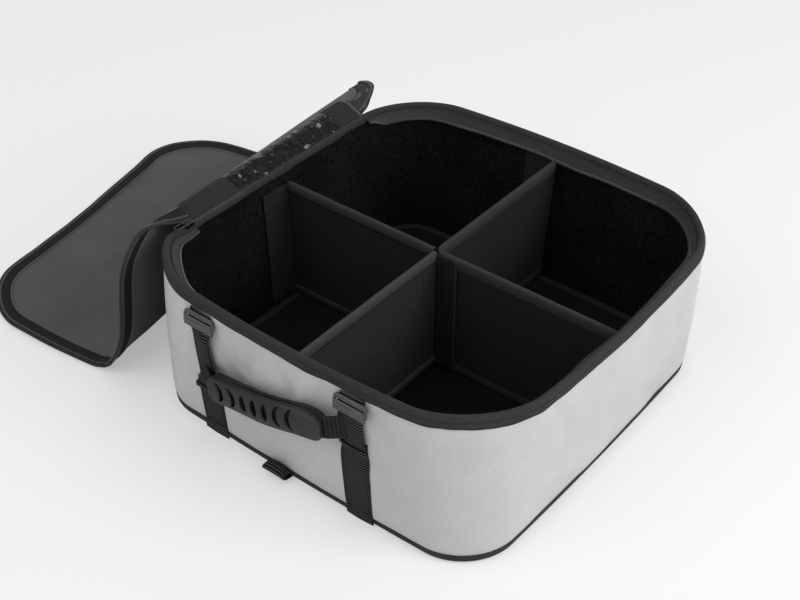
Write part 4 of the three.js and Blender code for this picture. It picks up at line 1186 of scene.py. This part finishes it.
for side in STRAPS:
    for hand in ("left", "right"):
        handle_strip(side, hand)
print("handle webbing made")

# %% [markdown]
# A short loop of webbing is folded and sewn under the front edge of the base, and its fold stands off the
# shell. Its side view is one line that goes out, round and back, carried across the width of the tab.
# %% Base tab
TAB_FROM, TAB_TO = -37 * MM, -9 * MM
# the side view's points: how far out and up, in millimetres
tab_profile = np.array([(1, 2.2), (5, 2.4), (11, 4.0), (15, 7.4), (16, 11), (13.6, 13.6), (9.6, 14.2),
                        (5.6, 13.0), (2.4, 10.8)]) * MM
tab_steps = np.linspace(0, len(tab_profile) - 1, 40)
tab_out, tab_up = (np.interp(tab_steps, range(len(tab_profile)), track) for track in tab_profile.T)
tab_rows = []
for out, up in zip(tab_out, tab_up):
    row = []
    for share in np.linspace(0, 1, 16):
        place = TAB_FROM + (TAB_TO - TAB_FROM) * share
        pinch = 1 - 0.35 * (2 * share - 1) ** 2 * (up / (14 * MM))
        row.append(face_point("front", place, max(up * pinch, 1.2 * MM), out * (0.8 + 0.2 * pinch)))
    tab_rows.append(row)
tab = grid_piece("base_tab", tab_rows, thickness=1.1 * MM)
dress(tab, webbing, stands_for=["base_tab_front"])
print("base tab made")

# %% [markdown]
# The lid is one flap of cloth. Its flat shape is the rim's outline, and it is laid over three flat places that
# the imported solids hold: a band beside the rim, a drape down the wall and the part on the floor. The joints in
# the frame say how each place turns from closed to open, so a point of the flat lid can be sent to any of the
# three. Near a fold the cloth takes a curve that meets both places in their own direction.
# %% Where the flat lid lies
LID_LEVEL = 176.4 * MM
HINGE_X = -211.95 * MM
LID_INSET = 4 * MM
joints = {joint["name"]: joint for joint in frame["joints"]}


def turn_to_closed(name):
    """The turn of one joint from where it is at rest to the closed lid."""
    joint = joints[name]
    place = Matrix.Translation(Vector(joint["pos_m"]))
    angle = math.radians(joint["range_deg"][1])
    return place @ Matrix.Rotation(angle, 4, Vector(joint["axis"])) @ place.inverted()


close_band = turn_to_closed("lid_hinge")
close_drape = close_band @ turn_to_closed("lid_crest_fold")
close_floor = close_drape @ turn_to_closed("lid_floor_fold")
OPEN = {}
for part, closing in (("band", close_band), ("drape", close_drape), ("floor", close_floor)):
    OPEN[part] = np.array(closing.inverted())


def fold_line(closing, name):
    """A fold's place on the flat lid and the direction across it."""
    joint = joints[name]
    place = closing @ Vector(joint["pos_m"])
    along = (closing.to_3x3() @ Vector(joint["axis"])).xy
    along = along if along.y > 0 else -along
    across = np.array([along.y, -along.x]) / along.length
    return np.array(place.xy), across


CREST_AT, CREST_ACROSS = fold_line(close_band, "lid_crest_fold")
FLOOR_AT, FLOOR_ACROSS = fold_line(close_drape, "lid_floor_fold")
HINGE_HALF_ZONE = 11 * MM
CREST_HALF_ZONE = 12 * MM
FLOOR_HALF_ZONE = 16 * MM
# the cloth is sewn in behind the rim tape and leaves it upwards
SEWN_X = -209.0 * MM
SEWN_LEVEL = 171.5 * MM
HINGE_RUN = 14 * MM
print("crest crosses the flat lid at", CREST_AT.round(3), "and the floor fold at", FLOOR_AT.round(3))


def send(part, flat):
    """Points of the flat lid where that part of it lies at rest."""
    full = at_height(at_height(flat, LID_LEVEL), 1.0)
    return (full @ OPEN[part].T)[:, :3]


def heading(part, across):
    """A direction on the flat lid, as it lies at rest in that part."""
    return OPEN[part][:3, :3] @ np.array([*across, 0.0])


def curve_between(start, start_run, end, end_run, share):
    """A smooth curve from one point and direction to another."""
    t = share[:, None]
    return ((2 * t**3 - 3 * t**2 + 1) * start + (t**3 - 2 * t**2 + t) * start_run
            + (-2 * t**3 + 3 * t**2) * end + (t**3 - t**2) * end_run)


def fold_between(flat, distance, across, half, before, after, reach):
    """Places on the curve that joins two parts of the lid over a fold."""
    start = send(before, flat - (distance + half)[:, None] * across)
    end = send(after, flat + (half - distance)[:, None] * across)
    run = half * reach
    share = (distance + half) / (2 * half)
    return curve_between(start, heading(before, across) * run, end, heading(after, across) * run, share)


def lid_middle(flat):
    """Where points of the flat lid lie at rest, on the middle of the cloth."""
    crest = (flat - CREST_AT) @ CREST_ACROSS
    floor = (flat - FLOOR_AT) @ FLOOR_ACROSS
    places = send("drape", flat)
    band, floor_part = send("band", flat), send("floor", flat)
    places = np.where((crest < -CREST_HALF_ZONE)[:, None], band, places)
    places = np.where((floor > FLOOR_HALF_ZONE)[:, None], floor_part, places)
    over_crest = fold_between(flat, crest, CREST_ACROSS, CREST_HALF_ZONE, "band", "drape", 1.545)
    places = np.where((np.abs(crest) <= CREST_HALF_ZONE)[:, None], over_crest, places)
    at_floor = fold_between(flat, floor, FLOOR_ACROSS, FLOOR_HALF_ZONE, "drape", "floor", 2.1)
    places = np.where((np.abs(floor) <= FLOOR_HALF_ZONE)[:, None], at_floor, places)
    from_hinge = flat[:, 0] - HINGE_X
    over_rim = (from_hinge < HINGE_HALF_ZONE)[:, None]
    root = np.column_stack([np.full(len(flat), SEWN_X), flat[:, 1], np.full(len(flat), SEWN_LEVEL)])
    end = send("band", np.column_stack([np.full(len(flat), HINGE_X + HINGE_HALF_ZONE), flat[:, 1]]))
    rise = np.array([-0.1, 0.0, 1.0]) * HINGE_RUN
    out = heading("band", (1.0, 0.0)) * HINGE_RUN
    share = np.clip(from_hinge / HINGE_HALF_ZONE, 0, 1)
    return np.where(over_rim, curve_between(root, rise, end, out, share), places)


# %% [markdown]
# Laid down, the cloth isn't quite flat. The drape bellies towards the wall near its front edge, the far corner
# of the band stands up, and the part on the floor lies in low waves, lower at its edge. These lifts are added
# along the cloth's own normal, found from two short steps across the flat lid.
# %% Waves of the laid lid
STEP = 0.5 * MM


def lid_wave(flat):
    """Lift of the cloth towards the side that is up when the lid is closed."""
    crest = (flat - CREST_AT) @ CREST_ACROSS
    floor = (flat - FLOOR_AT) @ FLOOR_ACROSS
    drop = np.clip(crest / (crest - floor + 1e-9), 0, 1)
    drape = np.where((crest > 0) & (floor < 0), np.sin(math.pi * drop ** 1.8), 0)
    near = np.clip((-flat[:, 1] - 20 * MM) / (180 * MM), 0, 1)
    belly = drape * (5 + 12 * near) * MM
    waves = clouds(at_height(flat), 90 * MM, 11)
    ripples = clouds(at_height(flat), 32 * MM, 12)
    on_floor = np.clip(floor / (40 * MM), 0, 1)
    sunk = np.clip((floor - 60 * MM) / (60 * MM), 0, 1)
    height = 2.2 * MM + 2.0 * MM * waves + 0.6 * MM * ripples
    hanging = np.clip(crest / (40 * MM), 0, 1) * (1 - on_floor)
    loose = hanging * (2.5 * MM * waves + 0.7 * MM * ripples)
    return belly + loose - on_floor * height * (0.4 + 0.6 * sunk)


def lid_pull(flat):
    """The cloth drawn out of its flat shape: its far edge is pulled in, but for the corner at the back."""
    x, y = flat.T
    far = np.clip((x - 20 * MM) / (190 * MM), 0, 1) ** 1.5
    drawn = -14 * MM * np.exp(-(((y + 20 * MM) / (125 * MM)) ** 2))
    drawn += 12 * MM * np.exp(-(((y - 190 * MM) / (55 * MM)) ** 2))
    raised = 8 * MM * np.clip(-y / (200 * MM), 0, 1) ** 2 + 12 * MM * np.clip(y / (200 * MM), 0, 1) ** 2
    return flat + np.stack([far * drawn, far * raised], -1)


def lid_place(flat, lift=0.0):
    """Where points of the flat lid lie at rest, lifted off the cloth's middle by that much."""
    flat = lid_pull(np.asarray(flat, float))
    here = lid_middle(flat)
    over_x = lid_middle(flat + [STEP, 0]) - here
    over_y = lid_middle(flat + [0, STEP]) - here
    normal = unit(np.cross(over_x, over_y))
    return here + normal * (lid_wave(flat) + lift)[:, None], normal


print("lid's middle lies at", lid_place([(0.0, 0.0)])[0][0].round(3))

# %% [markdown]
# The flat cloth is filled with a fine mesh inside its outline. A triangulation that keeps given lines takes
# the outline and two cuts where the lid lies flat, one in the band and one in the drape. The cuts split it into
# three pieces, because a piece can bend across one joint only, and there the cloth moves as one.
# %% Lid cloth
CUTS = (-200 * MM, -96 * MM)
ZIP_FINE = off_hinge(outline_factors(96, 48))


def lid_edge(inset):
    """The lid's free edge on the flat lid, from the near end of the hinge round to the far end."""
    return ring(WALL_HEIGHT, LID_INSET + inset, ZIP_FINE, slump=0.0)[:, :2]


def inside(points, polygon):
    """Whether each point is inside a polygon."""
    x, y = points.T
    hit = np.zeros(len(points), bool)
    for a, b in zip(polygon, np.roll(polygon, -1, axis=0)):
        crosses = (a[1] > y) != (b[1] > y)
        at = a[0] + (y - a[1]) * (b[0] - a[0]) / (b[1] - a[1] + 1e-15)
        hit ^= crosses & (x < at)
    return hit


def lid_limits(inset):
    """The lid's whole outline, with the hinge's straight line."""
    edge = lid_edge(inset)
    ends = np.array([[HINGE_X, edge[-1, 1]], [HINGE_X, edge[0, 1]]])
    return np.vstack([edge, ends])


border = lid_limits(1.0 * MM)
LID_CELL = 3.6 * MM
columns = np.arange(HINGE_X + 1 * MM, -170 * MM, 2 * MM)
columns = np.concatenate([columns, np.arange(-170 * MM, 225 * MM, LID_CELL)])
columns = columns[np.min(np.abs(columns[:, None] - np.array(CUTS)), axis=1) > 0.9 * MM]
columns = np.sort(np.concatenate([columns, CUTS]))
field = np.array([(x, y) for x in columns for y in np.arange(-212 * MM, 214 * MM, LID_CELL)])
field = field[inside(field, lid_limits(3.0 * MM))]
corners = [Vector(p) for p in border] + [Vector((cut, end * 260 * MM)) for cut in CUTS for end in (-1, 1)]
count = len(border)
lines = [(i, (i + 1) % count) for i in range(count)] + [(count, count + 1), (count + 2, count + 3)]
found = geometry.delaunay_2d_cdt(corners + [Vector(p) for p in field], lines, [], 0, 1e-7)
flat_points = np.array([tuple(v) for v in found[0]])
triangles = np.array([tuple(t) for t in found[2]])
triangles = triangles[inside(flat_points[triangles].mean(axis=1), border)]
middles = flat_points[triangles].mean(axis=1)
print("flat lid of", len(flat_points), "points and", len(triangles), "triangles")

# %% [markdown]
# For each piece of the lid, a bend's start and end are worked out: points on the cloth before and after the fold,
# moved so that their line is square to the joint's axis.
# %% Ends of the lid's bends
PARTS = [("root", "lid_band"), ("lid_band", "lid_drape"), ("lid_drape", "lid_floor")]
PART_NAMES = ["rim", "crest", "floor"]


def bend_ends(flat_start, flat_end, joint_name):
    """Where a bend starts and ends at rest."""
    start, end = (lid_place(np.array([p]))[0][0] for p in (flat_start, flat_end))
    axis = np.array(joints[joint_name]["axis"])
    run = (end - start) - ((end - start) @ axis) * axis
    return tuple(start), tuple(start + run)


BENDS = [
    bend_ends((HINGE_X, 0.0), (HINGE_X + HINGE_HALF_ZONE, 0.0), "lid_hinge"),
    bend_ends((-199 * MM, 0.0), (CREST_AT[0] + 16 * MM, 0.0), "lid_crest_fold"),
    bend_ends((FLOOR_AT[0] - 34 * MM, 0.0), (FLOOR_AT[0] + 34 * MM, 0.0), "lid_floor_fold"),
]


def dress_lid_part(piece, material, index, stands_for=()):
    """Gives a piece of the lid its finish, hides the nodes it replaces and bakes its place into its mesh."""
    dress(piece, material, body=None, stands_for=stands_for)
    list(PARTS[index])
    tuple(BENDS[index][0])
    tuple(BENDS[index][1])
    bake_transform(piece)


def part_of(x):
    """The number of the lid's piece at a place on the flat lid."""
    return np.searchsorted(CUTS, x)


LID_NODES = [["lid_hinge_band"], ["lid_panel_near"], ["lid_panel_far"]]
places = lid_place(flat_points)[0]
first_side, second_side = (flat_points[triangles[:, k]] - flat_points[triangles[:, 0]] for k in (1, 2))
areas = np.abs(first_side[:, 0] * second_side[:, 1] - first_side[:, 1] * second_side[:, 0]) / 2
for index, name in enumerate(PART_NAMES):
    chosen = triangles[part_of(middles[:, 0]) == index]
    used, renumbered = np.unique(chosen, return_inverse=True)
    faces = renumbered.reshape(-1, 3)
    cloth = add_piece(f"lid_cloth_{name}", places[used], faces, flat_points[used][faces])
    thicken(cloth, 1.2 * MM)
    area = float(areas[part_of(middles[:, 0]) == index].sum())
    dress_lid_part(cloth, lid_cloth, index, LID_NODES[index])
    print(cloth.name, "of", len(cloth.data.polygons), "faces and", round(area, 4), "square metres")

# %% [markdown]
# The lid's free edge is finished all round. A thin piping makes the outermost line, the zip's coil runs along
# it, and a black zip tape covers the cloth's edge on both faces. All three follow the same edge of the flat
# lid, at different depths and lifts, and are cut in the same places as the cloth.
# %% Lid edge, tape and coil
def lid_runs():
    """The parts of the free edge between the cuts: for each, the part's number and its stations."""
    number = part_of(lid_edge(0.0)[:, 0])
    breaks = np.flatnonzero(np.diff(number)) + 1
    starts = np.concatenate([[0], breaks])
    ends = np.concatenate([breaks, [len(number)]])
    for start, end in zip(starts, ends):
        yield int(number[start]), slice(int(start), int(min(end + 1, len(number))))


def edge_line(inset, lift, stations):
    """A line along the free edge, and the cloth's normal there. Inset and lift are in millimetres."""
    return lid_place(lid_edge(inset * MM)[stations], lift * MM)


def edge_tape(name, section, stations):
    """A closed section of inset and lift carried along the free edge."""
    rows = [edge_line(inset, lift, stations)[0] for inset, lift in section + section[:1]]
    return sharpen(grid_piece(name, rows), 50)


TAPE_SECTION = [(0.4, 0.0), (1.2, 1.1), (8, 1.25), (15.5, 1.2), (16, 0.7),
                (16, -0.7), (15.5, -1.2), (8, -1.25), (1.2, -1.1)]
WELT_SECTION = [(14.2, 1.1), (15.2, 1.9), (16.4, 1.9), (17.2, 1.0),
                (17.2, -1.0), (16.4, -1.9), (15.2, -1.9), (14.2, -1.1)]
TAPE_NODES = {1: ["lid_zip_tape_front", "lid_zip_tape_back"], 2: ["lid_zip_tape_end"]}
edge_count = 0
for index, stations in lid_runs():
    edge_count += 1
    tag = f"{PART_NAMES[index]}_{edge_count}"
    tape = edge_tape(f"lid_tape_{tag}", TAPE_SECTION, stations)
    dress_lid_part(tape, zip_tape if edge_count < 4 else binding_tape, index, TAPE_NODES.get(index, []))
    welt = edge_tape(f"lid_welt_{tag}", WELT_SECTION, stations)
    dress_lid_part(welt, lid_cloth, index)
    line, normal = edge_line(-0.6, 0.0, stations)
    side = np.cross(unit(np.gradient(line, axis=0)), normal)
    piping = sweep(f"lid_piping_{tag}", line, side, normal, round_section(3.0 * MM, 3.0 * MM, 8))
    dress_lid_part(piping, binding_tape, index)
    for face, lift in (("top", 1.7), ("under", -1.7)):
        coil = coil_mesh(f"lid_coil_{tag}_{face}", *edge_line(1.8, lift, stations))
        dress_lid_part(coil, coil_plastic, index)
    seams = [edge_line(12.5, lift, stations)[0] for lift in (1.5, -1.5)]
    dress_lid_part(stitches(f"lid_stitches_{tag}", seams), thread, index)
print("lid edge in", edge_count, "stretches")

# %% [markdown]
# A strip of glossy film is stuck over the middle of the hinge band and has puckered. It is a narrow grid on the
# band, pushed up into small blisters by noise, and it moves with the band. Ribbed tape shows at both of its
# ends, and the rim's row of teeth goes on beside the near one.
# %% Film and strips on the hinge band
FILM_FROM, FILM_TO = -66 * MM, 96 * MM


def band_line(across, start, end, count):
    """Flat points at one distance from the hinge, from one place along it to another."""
    return np.column_stack([np.full(count, HINGE_X + across * MM), np.linspace(start, end, count)])


film_rows = []
for across_share in np.linspace(0, 1, 22):
    flat = band_line(2 + 24 * across_share, FILM_FROM, FILM_TO, 120)
    pucker_height = 1.6 * MM * np.abs(clouds(at_height(flat), 9 * MM, 13))
    pucker_height += 0.8 * MM * np.abs(clouds(at_height(flat), 4 * MM, 14))
    edge_drop = math.sin(math.pi * across_share) ** 0.3
    film_rows.append(lid_place(flat, -(0.9 * MM + pucker_height * edge_drop))[0])
film_piece = grid_piece("hinge_film", film_rows, thickness=0.4 * MM)
dress(film_piece, patch_film, body="lid_band", stands_for=["hinge_patch"])
for end, strip_from, strip_to in (("near", -134 * MM, FILM_FROM - 1 * MM), ("far", FILM_TO + 1 * MM, 130 * MM)):
    strip_rows = []
    for across in np.linspace(1.5, 27.5, 12):
        strip_rows.append(lid_place(band_line(across, strip_from, strip_to, 50), -1.1 * MM)[0])
    strip = grid_piece(f"hinge_strip_{end}", strip_rows, thickness=0.5 * MM)
    dress(strip, rib_cloth, body="lid_band")
hinge_coil = coil_mesh("hinge_coil", *lid_place(band_line(0.5, -134 * MM, -64 * MM, 90), -2.2 * MM))
dress(hinge_coil, coil_plastic)
print("film of", len(film_piece.data.polygons), "faces")

# %% [markdown]
# The slider sits where the two halves of the zip part. It has a lower and an upper plate with a bridge between
# them, and a small wire puller hangs from the bridge. The puller turns on its own joint, so it is a piece of
# its own.
# %% Slider and puller
slider_low, slider_high = (np.array(c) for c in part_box("zip_slider"))
slider_middle = (slider_low + slider_high) / 2
slider_size = slider_high - slider_low


PLATE_OUTLINE = ((-0.5, -0.5), (-0.32, -0.62), (0.32, -0.62), (0.5, -0.5), (0.35, 0.35), (0.2, 0.5),
                 (-0.2, 0.5), (-0.35, 0.35))


def plate(rise, size, thickness):
    """A flat plate with an outline that narrows towards the back."""
    centre = slider_middle + UP * rise
    path = np.array([centre + UP * t for t in np.linspace(-thickness / 2, thickness / 2, 3)])
    return sweep("plate", path, (1.0, 0, 0), (0, 1.0, 0), np.array(PLATE_OUTLINE) * size)


bridge_line = []
for angle in np.linspace(0, math.pi, 9):
    along, up = -0.30 * slider_size[1] * math.cos(angle), 0.9 * MM + 1.6 * MM * math.sin(angle)
    bridge_line.append(slider_middle + [0, along, up])
bridge_line = np.array(bridge_line)
bridge_run = unit(np.gradient(bridge_line, axis=0))
bridge_side = np.array([1.0, 0, 0])
bridge_up = np.cross(bridge_side, bridge_run)
slider_parts = [
    plate(1.0 * MM, slider_size[:2], 1.1 * MM),
    plate(-1.2 * MM, slider_size[:2], 1.1 * MM),
    plate(0.0, slider_size[:2] * 0.45, 2.4 * MM),
    sweep("bridge", bridge_line, bridge_side, bridge_up, round_section(2.2 * MM, 1.0 * MM)),
]
dress(join(slider_parts, "slider"), zip_metal, stands_for=["zip_slider"])

puller_low, puller_high = (np.array(c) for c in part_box("zip_puller"))
puller_middle = (puller_low + puller_high) / 2
half_wide, half_long = (puller_high - puller_low)[:2] / 2 - 0.8 * MM
wire_loop = rounded_loop(half_wide, half_long, 1.6 * MM, half_wide * 0.98, 8)
wire_line = puller_middle + at_height(wire_loop)
wire_side = np.cross(closed_run(wire_line), UP)
puller = sweep("wire_puller", wire_line, wire_side, UP, round_section(1.5 * MM, 1.5 * MM), closed=True)
dress(puller, zip_metal, body="zip_pull", stands_for=["zip_puller"])
print("slider and puller made")

# %% [markdown]
# The boards in the walls and the base stay as packed, because cloth covers them. They still get a board
# finish, so that nothing is left without a material.
# %% Boards
for node_name in ("base_board", "stiffener_front", "stiffener_right", "stiffener_back", "stiffener_left"):
    node = frame["nodes"][node_name]
    node.data.materials.clear()
    node.data.materials.append(board)
print("boards finished")

# %% [markdown]
# The box stands on a plain pale floor that sweeps to a pale background. The floor shows a share of its own white
# to the camera, which keeps the shadow soft and pale. The background's white comes from the world's colour for
# camera, glossy and transmission rays, so metal and plastic mirror it, and it adds no soft light to the box.
# %% Floor and background
FLOOR_WHITE = 0.90
SEEN_SHARE = 0.42
floor_material, floor_tree, floor_shader = new_material("pale_floor", 0.9, 0.05)
floor_seen = add_node(floor_tree, "ShaderNodeLightPath").outputs["Is Camera Ray"]
floor_share = span(floor_tree, floor_seen, 1.0, 1.0 - SEEN_SHARE)
tone(floor_tree, floor_shader, (FLOOR_WHITE, FLOOR_WHITE, FLOOR_WHITE), floor_share)
floor_shader.inputs["Emission Color"].default_value = (1, 1, 1, 1)
floor_glow = calculate(floor_tree, "MULTIPLY", floor_seen, SEEN_SHARE * FLOOR_WHITE)
floor_tree.links.new(floor_glow, floor_shader.inputs["Emission Strength"])
bpy.ops.mesh.primitive_grid_add(x_subdivisions=4, y_subdivisions=4, size=12, location=(0, 0, 0))
floor = bpy.context.object
floor.name = "floor"
floor.data.materials.append(floor_material)
floor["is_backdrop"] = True

world = bpy.data.worlds.new("studio")
bpy.context.scene.world = world
world.use_nodes = True
world_tree = world.node_tree
BACKDROP_WHITE = 0.93
AMBIENT = 0.56
path_node = add_node(world_tree, "ShaderNodeLightPath")
shown = calculate(world_tree, "MAXIMUM", path_node.outputs["Is Camera Ray"], path_node.outputs["Is Glossy Ray"])
shown = calculate(world_tree, "MAXIMUM", shown, path_node.outputs["Is Transmission Ray"])
background = world_tree.nodes["Background"]
strength = span(world_tree, shown, AMBIENT, BACKDROP_WHITE)
background.inputs["Color"].default_value = (1, 1, 1, 1)
world_tree.links.new(strength, background.inputs["Strength"])
print("floor and world made")

# %% [markdown]
# The light is a soft studio one. A large lamp to the right and a little behind lights the right wall more than
# the front, and a weaker one above and to the left opens the shadows of the inside.
# %% Lamps
LIT_PLACE = Vector((0, 0, 0.1))


def lamp(name, place, size, power):
    """A rectangular lamp that points at the box."""
    data = bpy.data.lights.new(name, "AREA")
    data.shape = "RECTANGLE"
    data.size, data.size_y = size
    data.energy = power
    made = bpy.data.objects.new(name, data)
    made.location = place
    made.rotation_euler = (Vector(place) - LIT_PLACE).to_track_quat("Z", "Y").to_euler()
    bpy.context.scene.collection.objects.link(made)


lamp("key", (2.4, 0.5, 1.7), (1.8, 1.6), 53)
lamp("fill", (-0.6, -1.6, 2.4), (2.0, 2.0), 19)
bpy.context.scene.view_settings.view_transform = "Standard"
print("lamps made")

# %% [markdown]
# The sizes of the dressed box and of the imported one are both printed. The dressed box has to stay about as
# large as the imported one.
# %% Sizes
dressed_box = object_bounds()
sizes = {"cad": [list(map(float, c)) for c in cad_box], "dressed": [list(map(float, c)) for c in dressed_box]}
print("packed box", sizes["cad"], "dressed box", sizes["dressed"])
